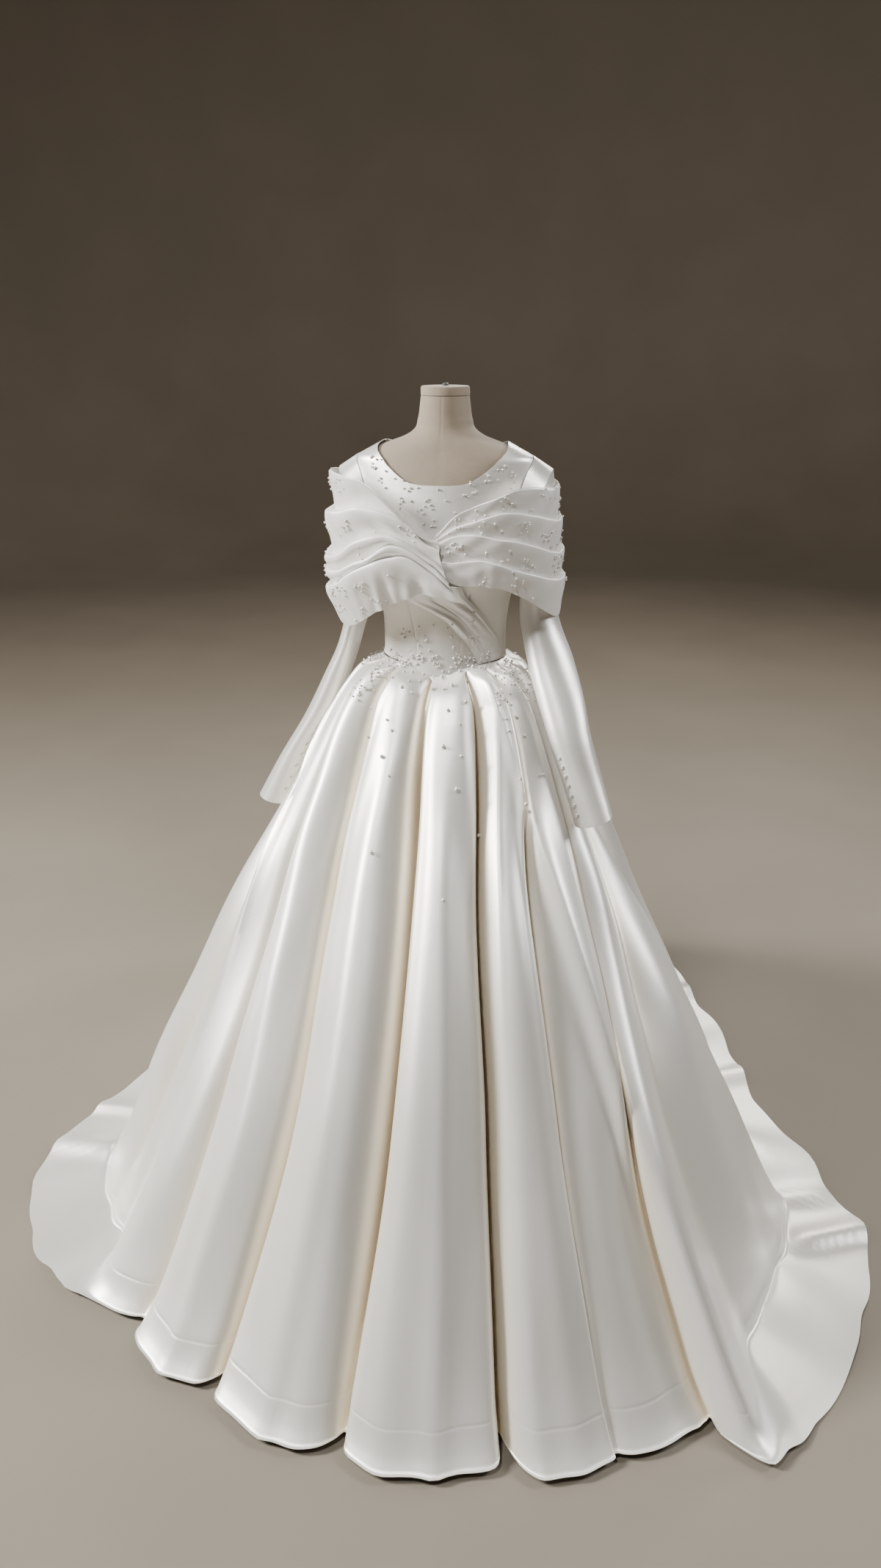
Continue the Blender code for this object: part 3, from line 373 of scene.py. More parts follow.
def mesh_object(name, points, faces, finish, uv=None, sharp=None, hollow=None):
    mesh = bpy.data.meshes.new(name)
    mesh.from_pydata([tuple(p) for p in points], [], [tuple(int(i) for i in f) for f in faces])
    mesh.update()
    mesh.polygons.foreach_set("use_smooth", [True] * len(mesh.polygons))
    if uv is not None:
        layer = mesh.uv_layers.new(name="cloth")
        corner = np.empty(len(mesh.loops), np.int32)
        mesh.loops.foreach_get("vertex_index", corner)
        layer.data.foreach_set("uv", np.asarray(uv, np.float32)[corner].ravel())
    # Per-point painted shade of the folds, which the satin reads as colour.
    if hollow is not None:
        tone = mesh.attributes.new("hollow", "FLOAT", "POINT")
        tone.data.foreach_set("value", np.asarray(hollow, np.float32))
    if sharp is not None:
        mesh.set_sharp_from_angle(angle=math.radians(sharp))
    mesh.materials.append(finish)
    made = bpy.data.objects.new(name, mesh)
    bpy.context.scene.collection.objects.link(made)
    return made


def run_lengths(grid, axis):
    step = np.linalg.norm(np.diff(grid, axis=axis), axis=-1)
    total = np.cumsum(step, axis=axis)
    zero_shape = list(total.shape)
    zero_shape[axis] = 1
    return np.concatenate([np.zeros(zero_shape), total], axis=axis)


def cloth(name, outer, finish, around=False, normal=None, inner=None, hollow=None):
    """Thin closed shell under a grid of points, with rounded edges, a UV map in metres and a painted
    fold-shade value per point.
    """
    across, rows = outer.shape[:2]
    if normal is None:
        normal = outward(outer, around)
    if inner is None:
        inner = outer - normal * THIN
    half = across * rows
    points = [outer.reshape(-1, 3), inner.reshape(-1, 3)]
    along = run_lengths(outer, 1)
    side = run_lengths(outer, 0).mean(axis=1, keepdims=True) + np.zeros((across, rows))
    uv = np.stack([side, along], axis=-1).reshape(-1, 2)
    uvs = [uv, uv]
    if hollow is None:
        hollow = np.zeros((across, rows))
    tones = [hollow.ravel(), hollow.ravel()]
    columns = across if around else across - 1
    i = np.arange(columns)[:, None]
    k = np.arange(rows - 1)[None, :]
    j = (i + 1) % across
    here = i * rows + k
    there = j * rows + k
    quads = np.stack([here, there, there + 1, here + 1], axis=-1).reshape(-1, 4)
    faces = [*quads, *(half + quads[:, ::-1])]
    if around:
        loops = [
            [(c, 0) for c in range(across)][::-1],
            [(c, rows - 1) for c in range(across)],
        ]
    else:
        loops = [
            [(c, 0) for c in range(across - 1, 0, -1)]
            + [(0, r) for r in range(rows - 1)]
            + [(c, rows - 1) for c in range(across - 1)]
            + [(across - 1, r) for r in range(rows - 1, 0, -1)]
        ]
    used = 2 * half
    for loop in loops:
        mids = []
        for c, r in loop:
            way = np.zeros(3)
            if r == 0:
                way += outer[c, 0] - outer[c, 1]
            if r == rows - 1:
                way += outer[c, -1] - outer[c, -2]
            if not around and c == 0:
                way += outer[0, r] - outer[1, r]
            if not around and c == across - 1:
                way += outer[-1, r] - outer[-2, r]
            way = way / max(np.linalg.norm(way), 1e-9)
            gap = np.linalg.norm(outer[c, r] - inner[c, r])
            mids.append((outer[c, r] + inner[c, r]) / 2 + way * gap * RIM_BULGE)
        points.append(np.array(mids))
        uvs.append(np.array([uv[c * rows + r] for c, r in loop]))
        tones.append(np.array([hollow[c, r] for c, r in loop]))
        count = len(loop)
        for a in range(count):
            b = (a + 1) % count
            one = loop[a][0] * rows + loop[a][1]
            two = loop[b][0] * rows + loop[b][1]
            faces.append((two, one, used + a, used + b))
            faces.append((used + b, used + a, half + one, half + two))
        used += count
    points = np.concatenate(points)
    if face_volume(points, faces) < 0:
        faces = [tuple(reversed(tuple(face))) for face in faces]
    return mesh_object(name, points, faces, finish, np.concatenate(uvs), 50, np.concatenate(tones))


def face_volume(points, faces):
    quads = np.array([tuple(face) for face in faces])
    a, b, c, d = (points[quads[:, n]] for n in range(4))
    return float((a * np.cross(b, c)).sum() + (a * np.cross(c, d)).sum())


def turned_body(name, rings, finish):
    """Smooth closed body through rings of points."""
    count = len(rings[0])
    faces = []
    for level in range(len(rings) - 1):
        low = level * count
        for i in range(count):
            j = (i + 1) % count
            faces.append((low + i, low + j, low + count + j, low + count + i))
    last = (len(rings) - 1) * count
    faces.append(tuple(reversed(range(count))))
    faces.append(tuple(last + i for i in range(count)))
    return mesh_object(name, np.concatenate(rings), faces, finish, sharp=40)


def stand_for(piece, slot, *nodes):
    """Lets a piece ride on the one body and stand for the nodes. The slot is not used."""
    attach(piece, "root")
    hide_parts(*nodes)
    return piece


# Materials.


def new_material(name, colour, rough):
    made = bpy.data.materials.new(name)
    made.use_nodes = True
    shader = made.node_tree.nodes["Principled BSDF"]
    shader.inputs["Base Color"].default_value = (*colour, 1.0)
    shader.inputs["Roughness"].default_value = rough
    return made, shader


def node(tree, kind, **values):
    created = tree.nodes.new(kind)
    for key, value in values.items():
        if key in created.inputs:
            created.inputs[key].default_value = value
        else:
            setattr(created, key, value)
    return created


def link(a, b):
    a.id_data.links.new(a, b)


def scaled(source, scale):
    mapping = node(source.id_data, "ShaderNodeMapping")
    mapping.inputs["Scale"].default_value = scale
    link(source, mapping.inputs["Vector"])
    return mapping.outputs["Vector"]


def ramp(source, stops):
    made_ramp = node(source.id_data, "ShaderNodeValToRGB")
    elements = made_ramp.color_ramp.elements
    while len(elements) < len(stops):
        elements.new(0.5)
    for element, (place, colour) in zip(elements, stops):
        element.position = place
        element.color = (*colour, 1.0)
    link(source, made_ramp.inputs["Fac"])
    return made_ramp.outputs["Color"]


def put(shader, **values):
    for key, value in values.items():
        shader.inputs[key.replace("_", " ")].default_value = value


def remap(source, low, high):
    out = node(source.id_data, "ShaderNodeMapRange")
    put(out, To_Min=low, To_Max=high)
    link(source, out.inputs["Value"])
    return out.outputs["Result"]


def noise(vector, scale, detail=2.0, roughness=0.5):
    created = node(vector.id_data, "ShaderNodeTexNoise", Scale=scale, Detail=detail, Roughness=roughness)
    link(vector, created.inputs["Vector"])
    return created.outputs["Fac"]


def bump(height, strength, distance, under=None):
    created = node(height.id_data, "ShaderNodeBump", Strength=strength, Distance=distance)
    link(height, created.inputs["Height"])
    if under is not None:
        link(under, created.inputs["Normal"])
    return created.outputs["Normal"]


def times(first, second):
    created = node(first.id_data, "ShaderNodeMix", data_type="RGBA", blend_type="MULTIPLY")
    put(created, Factor=1.0)
    link(first, created.inputs["A"])
    link(second, created.inputs["B"])
    return created.outputs["Result"]


def satin(name, tone, rough, rib=0.0, gloss=0.42, along_cloth=True):
    """Heavy woven satin: long floats along the cloth, an uneven sheen, a fine weave and painted warm shade in
    the folds.
    """
    made, shader = new_material(name, tone, rough)
    if along_cloth:
        tangent = node(made.node_tree, "ShaderNodeTangent", direction_type="UV_MAP", uv_map="cloth")
        link(tangent.outputs["Tangent"], shader.inputs["Tangent"])
        put(shader, Anisotropic=0.6)
    places = node(made.node_tree, "ShaderNodeTexCoord").outputs
    floats = noise(scaled(places["UV"], (420.0, 26.0, 1.0)), 1.0, 3.0, 0.6)
    broad = noise(places["Object"], 5.5, 3.0)
    weave = node(made.node_tree, "ShaderNodeTexWave", Scale=1.0, Distortion=1.2, Detail=1.0)
    weave.bands_direction = "Y"
    threads = (90.0, 420.0 if rib else 620.0, 1.0)
    link(scaled(places["UV"], threads), weave.inputs["Vector"])
    darker = tuple(c * k for c, k in zip(tone, (0.955, 0.95, 0.94)))
    # Painted shade: the per-point fold value darkens the colour to cream and tan deep in the skirt's folds.
    hollow = node(made.node_tree, "ShaderNodeAttribute", attribute_name="hollow")
    painted_fold_shade = ((0.0, (1.0, 1.0, 1.0)), (0.45, (0.94, 0.895, 0.81)), (1.0, (0.74, 0.65, 0.51)))
    plain = ramp(broad, ((0.25, darker), (0.75, tone)))
    link(times(plain, ramp(hollow.outputs["Fac"], painted_fold_shade)), shader.inputs["Base Color"])
    link(remap(floats, rough - 0.05, rough + 0.07), shader.inputs["Roughness"])
    fine = bump(weave.outputs["Fac"], 0.10 + rib, 0.0002)
    link(bump(floats, 0.16, 0.0008, fine), shader.inputs["Normal"])
    put(shader, Sheen_Weight=0.05, Sheen_Roughness=0.4, Specular_IOR_Level=0.8, Metallic=gloss)
    return made


def linen(name, tone):
    """Matt cloth with uneven threads both ways."""
    made, shader = new_material(name, tone, 0.85)
    places = node(made.node_tree, "ShaderNodeTexCoord").outputs["Object"]
    both = node(made.node_tree, "ShaderNodeMath", operation="ADD")
    for socket, scale in zip(both.inputs, ((900.0, 900.0, 160.0), (160.0, 160.0, 900.0))):
        link(noise(scaled(places, scale), 1.0, 4.0, 0.65), socket)
    stain = noise(places, 14.0, 4.0, 0.6)
    light = tuple(min(1.0, c * 1.06) for c in tone)
    dark = tuple(c * 0.90 for c in tone)
    plain = ramp(stain, ((0.3, dark), (0.7, light)))
    threads = remap(both.outputs["Value"], 0.70, 1.20)
    link(times(plain, threads), shader.inputs["Base Color"])
    link(bump(both.outputs["Value"], 0.35, 0.0004), shader.inputs["Normal"])
    put(shader, Sheen_Weight=0.25)
    return made


def painted(name, tone, rough):
    """Paint on metal, a little smeared and grained."""
    made, shader = new_material(name, tone, rough)
    places = node(made.node_tree, "ShaderNodeTexCoord").outputs["Object"]
    smear = noise(places, 22.0, 4.0)
    dark = tuple(c * 0.8 for c in tone)
    link(ramp(smear, ((0.3, dark), (0.7, tone))), shader.inputs["Base Color"])
    link(remap(smear, rough - 0.08, rough + 0.12), shader.inputs["Roughness"])
    link(bump(noise(places, 900.0), 0.15, 0.0003), shader.inputs["Normal"])
    return made


def pearl():
    """Glossy bead with a cloudy body."""
    made, shader = new_material("pearl", (0.80, 0.78, 0.74), 0.16)
    places = node(made.node_tree, "ShaderNodeTexCoord").outputs["Object"]
    cloudy = ((0.35, (0.70, 0.67, 0.62)), (0.65, (0.86, 0.84, 0.80)))
    link(ramp(noise(places, 210.0), cloudy), shader.inputs["Base Color"])
    put(shader, Metallic=0.35, Coat_Weight=0.8, Coat_Roughness=0.08)
    return made


SATIN = satin("satin", (0.955, 0.94, 0.90), 0.36, gloss=0.48)
WRAP_SATIN = satin("wrap_satin", (0.945, 0.935, 0.912), 0.44, rib=0.05, gloss=0.22)
BUTTON_SATIN = satin("button_satin", (0.90, 0.89, 0.86), 0.36, along_cloth=False)
LINEN = linen("form_linen", (0.255, 0.208, 0.155))
METAL = painted("stand_metal", (0.10, 0.097, 0.093), 0.36)
PEARL = pearl()


# Skirt.


def seam_height(angle_deg):
    return SEAM_SIDE_Z - SEAM_DIP * bell(np.asarray(angle_deg, float), SEAM_DIP_DEG)


def neck_height(angle_deg):
    return table(NECKLINE, np.abs(angle_deg))[..., 0]


WAVES = [
    (rng.uniform(3, 26), rng.uniform(-7, 7), rng.uniform(0, 2 * math.pi), rng.uniform(0.4, 1.0))
    for _ in range(14)
]


def flute_relief(read, angle, out, z_share):
    """Rolled edges beside some folds, strongest near the waist."""
    relief = np.zeros_like(out)
    for index, offset, height, width in FLUTES:
        gap = np.radians(angle - read[..., int(index)]) * out - offset
        relief = relief + height * bell(gap, width)
    return relief * rise(z_share, 0.28, 0.45)


def drape_relief(read, angle, out, z_share):
    """Broad shallow waves inside the lobes, full from the thigh down."""
    relief = np.zeros_like(out)
    for index, high, low, height, width in DRAPES:
        offset = low + (high - low) * z_share
        gap = np.radians(angle - read[..., int(index)]) * out - offset
        relief = relief + height * bell(gap, width)
    return relief * fall(z_share, 0.95, 0.35)


def crease_relief(x, y):
    relief = np.zeros_like(x)
    for x0, y0, x1, y1, height, width in CREASES:
        length = math.hypot(x1 - x0, y1 - y0)
        along = ((x - x0) * (x1 - x0) + (y - y0) * (y1 - y0)) / length
        off = ((x - x0) * (y1 - y0) - (y - y0) * (x1 - x0)) / length
        ends = rise(along, -0.03, 0.09) * fall(along, length + 0.07, 0.10)
        side = np.where(off > 0, 1.0, 1.9) * width
        relief = relief + height * bell(off, side) * ends
    return relief


def skirt_point(fold, level):
    """Point of the skirt's outer face, and how deep in a fold it lies, from 0 to 1, as painted shade for the
    satin.

    fold counts along the fold table, level along the row table.
    """
    shape = np.broadcast(fold, level).shape
    fold = np.broadcast_to(fold, shape)
    level = np.broadcast_to(level, shape)
    folds = np.array(FOLDS, float)
    count = len(folds)
    low = np.clip(np.floor(fold).astype(int), 0, count - 2)
    part = fold - low
    is_ridge = folds[:, 4] > 0
    keyed_rows = [(float(index), *row) for index, row in enumerate(SKIRT_ROWS)]
    front_z, front_share, train_z, train_share = np.moveaxis(table(keyed_rows, level), -1, 0)
    keys = [1.0 - height for height in FOLD_HEIGHTS]
    by_height = [
        (key, *folds[:, column], *folds[:, 4 + column]) for column, key in enumerate(keys)
    ]
    read = table(by_height, np.clip(1.0 - train_z, keys[0], keys[-1]))

    def pick(index):
        return np.take_along_axis(read, index[..., None], axis=-1)[..., 0]

    angle = pick(low) + (pick(low + 1) - pick(low)) * part
    valley = np.where(is_ridge[low], low + 1, low)
    ridge = np.where(is_ridge[low], low, low + 1)
    t = np.where(is_ridge[low], 1.0 - part, part)
    sharp = folds[valley, 8]
    crisp = sharp > CRISP_FOLD
    ease = np.where(crisp, *VALLEY_EASE)
    slot = np.where(crisp, SLOT_SHARE, 0.0)
    t = np.clip((t - slot) / (1.0 - slot), 0.0, 1.0)
    t = (np.sqrt(t * t + ease * ease) - ease) / (np.sqrt(1.0 + ease * ease) - ease)
    soft = 1.0 - (1.0 - t) ** sharp
    flatter = LOBE_FLAT + LOBE_FLATTER * np.clip(1.0 - train_z, 0.0, 1.0) ** 2
    edge_roll = ROLL_HEIGHT * bell(t - ROLL_AT, ROLL_WIDTH)
    round_lobe = (1.0 - (1.0 - t) ** flatter) ** LOBE_POWER + edge_roll
    bulge = np.where(crisp, round_lobe, soft)
    valley_depth = pick(count + valley)
    ridge_depth = pick(count + ridge)
    fade = smooth_step(level / FOLDS_FULL_LEVEL)
    depth = (valley_depth + (ridge_depth - valley_depth) * bulge) * fade / 1000.0
    train = rise(np.abs(angle), TRAIN_FROM_DEG, TRAIN_BLEND_DEG)
    laps = np.array([LAPS.get(index, 0.0) for index in range(count)])
    # A lap is narrow at the waist and full from the thigh down.
    lap = laps[valley] * fade * (0.25 + 0.75 * fall(train_z, 0.95, 0.4))
    lapping = np.where(is_ridge[low], lap < 0, lap > 0)
    over = (1.0 - bulge) - 0.8 * (1.0 - t) ** 2
    shift = lap * np.where(lapping, over, 0.2 * (1.0 - t) ** 3)
    z_share = front_z + (train_z - front_z) * train
    share = front_share + (train_share - front_share) * train
    angle = angle + np.degrees(shift / (0.10 + 0.85 * share))
    turn = np.radians(angle)
    seam = seam_height(angle)
    waist = body_point(angle, seam, FORM_CLEAR + CLOTH)
    waist_out = np.hypot(waist[..., 0], waist[..., 1])
    hem = table(HEM, angle)[..., 0]
    out = waist_out + (hem - waist_out) * share + depth
    ripple = sum(
        size * np.sin(k * turn + m * z_share * 3 + shift) for k, m, shift, size in WAVES
    ) / len(WAVES)
    out = out + RIPPLE * ripple * rise(level, 1.0, 4.0)
    out = out + flute_relief(read, angle, out, z_share) * fade
    out = out + drape_relief(read, angle, out, z_share) * bulge
    z = seam * z_share
    # Where the train lies, its valleys touch the floor and its ridges stand a little over it.
    lying = rise(level, 10.5, 1.5) * train
    crest = np.clip((bulge - 0.60) / 0.40, 0.0, 1.0)
    on_floor = CLOTH + TRAIN_RIDGE * crest * crest * lying * np.clip((14.2 - level) / 2.0, 0.35, 1.0)
    hover = HEM_CLEAR * (1.0 - train) * rise(level, 11.0, 1.2)
    z = np.maximum(z, on_floor + hover)
    out = out - HEM_LINE_DEPTH * bell(level - HEM_LINE_LEVEL, HEM_LINE_WIDTH)
    x = out * np.sin(turn)
    y = -out * np.cos(turn)
    z = z + crease_relief(x, y) * fall(z, 0.16, 0.12) * train
    # Painted shade: the deeper a point lies in a deep slot, the darker the satin paints it.
    hollow = np.clip(1.0 - 1.15 * bulge, 0.0, 1.0) * np.clip(-valley_depth / 60.0, 0.0, 1.0) * fade
    return np.stack([x, y, z], axis=-1), hollow


# Where the skirt is sampled: down it, finest at the waist and the hem's stitch line, and from a fold's
# valley to its ridge, finest in the valley.
SKIRT_LEVELS = np.concatenate([
    np.linspace(0, 2, 25), np.linspace(2, 10.9, 70)[1:],
    np.linspace(10.94, 11.16, 9), np.linspace(11.22, 13.0, 16),
])
FOLD_STEPS = np.linspace(0.0, 1.0, 19)[:-1] ** 1.7


def build_skirt():
    made = []
    for name, first, last, *flat in GORES:
        places = []
        for low in range(first, last):
            places.extend(low + FOLD_STEPS if FOLDS[low][4] < 0 else low + 1 - FOLD_STEPS)
        places = np.array(sorted(set(np.round(places, 5)) | set(range(first, last + 1))))
        outer, hollow = skirt_point(places[:, None], SKIRT_LEVELS[None, :])
        normal = outward(outer)
        normal[..., 2] = np.where(outer[..., 2] < NEAR_FLOOR, 1.0, normal[..., 2])
        normal = unit(normal)
        for row, side in ((0, 1.0), (-1, -1.0)):
            radial = unit(outer[row, :, :2])
            way = np.stack([-radial[:, 1], radial[:, 0]], axis=-1) * side
            outer[row, :, :2] += way * SEEN_GAP
        outer[:, 0, 2] -= SEEN_GAP
        inner = outer - normal * THIN
        inner[..., 2] = np.maximum(inner[..., 2], FLOOR_CLEAR)
        piece = cloth(name + "_cloth", outer, SATIN, inner=inner, hollow=hollow)
        made.append((stand_for(piece, "satin", name), *flat))
    return made


# Bodice.


def arm_edge_angle(z):
    share = np.clip((z - ARM_CENTRE_Z) / ARM_HALF_Z, -1.0, 1.0)
    return 90.0 - ARM_WIDE_DEG * np.sqrt(1.0 - share * share)


def bodice_grid(start, columns, side):
    """Angles and heights of a panel's points, which follow the armhole at its edge."""
    across = np.linspace(0.0, 1.0, columns)[:, None]
    if start == 0.0:
        nominal = 90.0 * (2.0 * across - 1.0)
    else:
        nominal = start + (90.0 - start) * across
    low = seam_height(nominal)
    top = neck_height(nominal)
    arm_low = (ARM_CENTRE_Z - ARM_HALF_Z - low) / (top - low)
    arm_high = np.minimum((ARM_CENTRE_Z + ARM_HALF_Z - low) / (top - low), 0.985)
    arm_rows = BODICE_ROWS // 2
    lower_rows = BODICE_ROWS - arm_rows - 2
    shares = []
    for row in range(BODICE_ROWS - 1):
        if row < lower_rows:
            shares.append(arm_low * row / lower_rows)
        else:
            ease = 0.5 - 0.5 * math.cos(math.pi * (row - lower_rows) / arm_rows)
            shares.append(arm_low + (arm_high - arm_low) * ease)
    shares.append(np.ones_like(low))
    share = np.concatenate(shares, axis=1)
    z = low + (top - low) * share
    edge = arm_edge_angle(z)
    if start == 0.0:
        beyond = np.clip((np.abs(nominal) - PANEL_EDGE) / (90.0 - PANEL_EDGE), 0.0, 1.0)
        angle = np.minimum(np.abs(nominal), PANEL_EDGE) + (edge - PANEL_EDGE) * beyond
        return np.sign(nominal) * angle, z
    if start > 90.0:
        edge = 180.0 - edge
    angle = start + (edge - start) * across
    return side * angle, z


def inset(grid):
    """Moves the two side edges and the lowest one in a little, off the next panel."""
    grid = grid.copy()
    for row, nearer in ((0, 1), (-1, -2)):
        grid[row] += unit(grid[nearer] - grid[row]) * SEEN_GAP
    grid[:, 0] += unit(grid[:, 1] - grid[:, 0]) * SEEN_GAP
    return grid


def seam_groove(angle, z):
    """Shaping seams of the lower bodice, pressed a little into the satin."""
    seam = 19.5 + 9.0 * rise(z, 1.10, 0.20)
    low = 1.0 - rise(z, 1.26, 0.05)
    return SEAM_PRESSED * bell(np.abs(angle) - seam, SEAM_PRESSED_DEG) * low


# Bodice pieces: name, nodes, first angle, columns, side, flat cut: width, length, area.
BODICE = (
    ("bodice_front_cloth", ("bodice_centre_front", "bodice_side_front_right", "bodice_side_front_left"),
     0.0, 241, 1, 0.46, 0.42, 0.143),
    ("bodice_back_right_cloth", ("bodice_back_right",), 180.0, 61, 1, 0.22, 0.42, 0.073),
    ("bodice_back_left_cloth", ("bodice_back_left",), 180.0, 61, -1, 0.22, 0.42, 0.073),
)
BODICE_ROWS = 90


def build_bodice():
    made = []
    for name, nodes, start, columns, side, *flat in BODICE:
        angle, z = bodice_grid(start, columns, side)
        off = FORM_CLEAR + CLOTH - seam_groove(angle, z)
        outer = inset(body_point(angle, z, off))
        inner = inset(body_point(angle, z, off - THIN))
        piece = cloth(name, outer, SATIN, inner=inner)
        made.append((stand_for(piece, "satin", *nodes), *flat))
    return made


# Sleeves.


SLEEVE_SIDES = 72
SLEEVE_PLACES = np.concatenate([np.linspace(0, 1, 9)[:-1], np.linspace(1, 10, 100)])[None, :]
SLEEVE_FLAT = (0.36, 0.72, 0.173)


def sleeve_point(rows, turn, place):
    """Point of a right sleeve's outer face; place 0 is the armhole and counts along the rings."""
    keyed = [(index + 1.0, *row) for index, row in enumerate(rows)]
    read = table(keyed, np.maximum(place, 1.0))
    far = read[..., 0:3]
    near = read[..., 3:6]
    deep = read[..., 6:7]
    way = far - near
    front = np.stack([way[..., 1], -way[..., 0], np.zeros_like(way[..., 0])], axis=-1)
    front = unit(front)
    cosine = np.cos(turn)[..., None]
    sine = np.sin(turn)[..., None]
    ring = (far + near) / 2 + way / 2 * cosine + front * deep * sine
    edge_z = ARM_CENTRE_Z + ARM_HALF_Z * np.cos(turn)
    edge = body_point(90.0 - ARM_WIDE_DEG * np.sin(turn), edge_z, FORM_CLEAR + CLOTH)
    edge = edge + np.array([ARM_GAP, 0.0, 0.0])
    share = np.clip(1.0 - place, 0.0, 1.0)[..., None]
    return edge * share + ring * (1.0 - share)


def build_sleeves():
    made = []
    for side, rows, label in ((1.0, SLEEVE_RIGHT, "sleeve_right"), (-1.0, SLEEVE_LEFT, "sleeve_left")):
        turn = np.linspace(0.0, 2 * math.pi, SLEEVE_SIDES, endpoint=False)[:, None]
        outer = sleeve_point(rows, turn + 0 * SLEEVE_PLACES, SLEEVE_PLACES + 0 * turn)
        normal = normals_of(outer, around=True)
        middle = outer.mean(axis=0, keepdims=True)
        if np.mean(np.sum(normal * (outer - middle), axis=-1)) < 0:
            normal = -normal
        mirror = np.array([side, 1.0, 1.0])
        inner = (outer - normal * THIN) * mirror
        piece = cloth(label + "_cloth", outer * mirror, SATIN, around=True, inner=inner)
        made.append((stand_for(piece, "satin", label), *SLEEVE_FLAT))
    return made


# Wrap.

# Rolled lip of a strip: share down the strip, how far it goes up in metres, and out in steps.
LIP = (
    (0.00, 0.0000, 0.00), (0.03, 0.0035, 0.30), (0.07, 0.0056, 0.82), (0.12, 0.0044, 1.06),
    (0.18, 0.0018, 1.12), (0.26, 0.0, 1.06), (0.60, 0.0, 0.56), (1.00, 0.0, 0.00),
)
LIP_BASE = {1.0: (1.35, 0.30), -1.0: (1.60, 0.38)}
STRIPS = {1.0: 4, -1.0: 5}


def down_strip(part):
    """Share of a strip's height at a share of its course, of which the first 0.15 goes round the lip."""
    return np.clip((part - 0.15) / 0.85, 0.0, 1.0)


def wrap_point(rows, angle, fold, side):
    """Point of the wrap's outer face: angle from the front, fold counts the strips from the top."""
    read = np.moveaxis(table(rows, angle), -1, 0)
    top, low, wide, deep, step = read[:5]
    bounds = np.stack([np.zeros_like(top), *read[5:], np.ones_like(top)], axis=-1)
    strips = bounds.shape[-1] - 1
    index = np.clip(np.floor(fold).astype(int), 0, strips - 1)
    part = fold - index
    start = np.take_along_axis(bounds, index[..., None], axis=-1)[..., 0]
    end = np.take_along_axis(bounds, index[..., None] + 1, axis=-1)[..., 0]
    across = start + (end - start) * down_strip(part)
    lip = table(LIP, part)
    grow, base = LIP_BASE[side]
    lift_z = lip[..., 0] * np.clip(step / 7.0, 0.3, 1.7)
    lift = (lip[..., 1] - base) * step * grow / 1000.0
    first = index == 0
    lift_z = np.where(first, 0.0, lift_z)
    lift = np.where(first & (part < 0.18), (1.12 - base) * step * grow / 1000.0 * 0.8, lift)
    turn = np.radians(angle)
    front = fall(angle, 46.0, 30.0) * rise(across, 0.55, 0.4)
    ruffle = np.sin(angle * 0.47 + across * 3.0) + 0.7 * np.sin(angle * 0.83 + 1.3)
    ruffle = ruffle * front * (0.0019 if side < 0 else 0.0007)
    drag = 0.0011 * np.sin(angle * 0.27 + across * 19.0) * np.sin(across * 9.0 + side)
    shrink = 1.0 - WRAP_TOP_IN * (1.0 - across) ** 2 - (WRAP_LOW_IN * across**3 if side < 0 else 0.0)
    drop = 0.25 * (across - 0.35) * step / 1000.0
    sine = np.abs(np.sin(turn)) ** (2.0 / WRAP_POWER) * np.sign(np.sin(turn))
    cosine = np.abs(np.cos(turn)) ** (2.0 / WRAP_POWER) * np.sign(np.cos(turn))
    x = wide * shrink * sine
    y = -deep * shrink * cosine
    off = lift + drop + ruffle + drag
    z = top + (low - top) * across + lift_z - 0.8 * ruffle
    return np.stack([side * (x + np.sin(turn) * off), y - np.cos(turn) * off, z], axis=-1)


WRAPS = (
    ("wrap_right", WRAP_RIGHT, 1.0, CROSSING_RIGHT, 0.145),
    ("wrap_left", WRAP_LEFT, -1.0, CROSSING_LEFT, 0.21),
)
WRAP_ANGLES = np.concatenate([np.linspace(0, 60, 91), np.linspace(60, 180, 111)[1:]])
STRIP_PLACES = np.concatenate([np.linspace(0.0, 0.26, 13), np.linspace(0.26, 1.0, 15)[1:-1]])


def build_wraps():
    made = []
    for label, rows, side, crossing, area in WRAPS:
        strips = STRIPS[side]
        fold = np.concatenate([index + STRIP_PLACES for index in range(strips)] + [[float(strips)]])
        bounds = np.concatenate([[0.0], table(rows, 1.0)[5:], [1.0]])
        share = down_strip(fold % 1.0)
        lower = np.minimum(fold.astype(int), strips - 1)
        share[-1] = 1.0
        across = bounds[lower] + (bounds[lower + 1] - bounds[lower]) * share
        begins = table(crossing, across)[:, 0] - (LEFT_OVER if side < 0 else RIGHT_UNDER * across)
        fade = np.clip(1.0 - WRAP_ANGLES / 60.0, 0.0, 1.0)[:, None]
        angle = WRAP_ANGLES[:, None] + begins[None, :] * fade
        outer = wrap_point(rows, angle, fold[None, :] + 0 * angle, side)
        outer[-1, :, 0] = side * SEAM_GAP / 2
        piece = cloth(label + "_cloth", outer, WRAP_SATIN)
        made.append((stand_for(piece, "wrap_satin", label), 0.34, 0.62, area))
    along = np.linspace(0.0, len(TAIL) - 1.0, 100)[:, None]
    across = np.linspace(0.0, 1.0, 81)[None, :]
    outer = tail_point(along + 0 * across, across + 0 * along)
    normal = normals_of(outer)
    if np.mean(normal[..., 1]) > 0:
        normal = -normal
    piece = cloth("wrap_tail_cloth", outer, WRAP_SATIN, normal=normal)
    made.append((stand_for(piece, "wrap_satin", "wrap_tail"), 0.10, 0.21, 0.017))
    return made


def bodice_depth(x, z):
    """How far to the front the bodice lies at a place across and a height."""
    wide, front, _ = np.moveaxis(table(FORM, z), -1, 0)
    share = np.clip(np.abs(x) / (wide + FORM_CLEAR + CLOTH), 0.0, 0.995)
    return (front + FORM_CLEAR + CLOTH) * np.sqrt(1.0 - share * share)


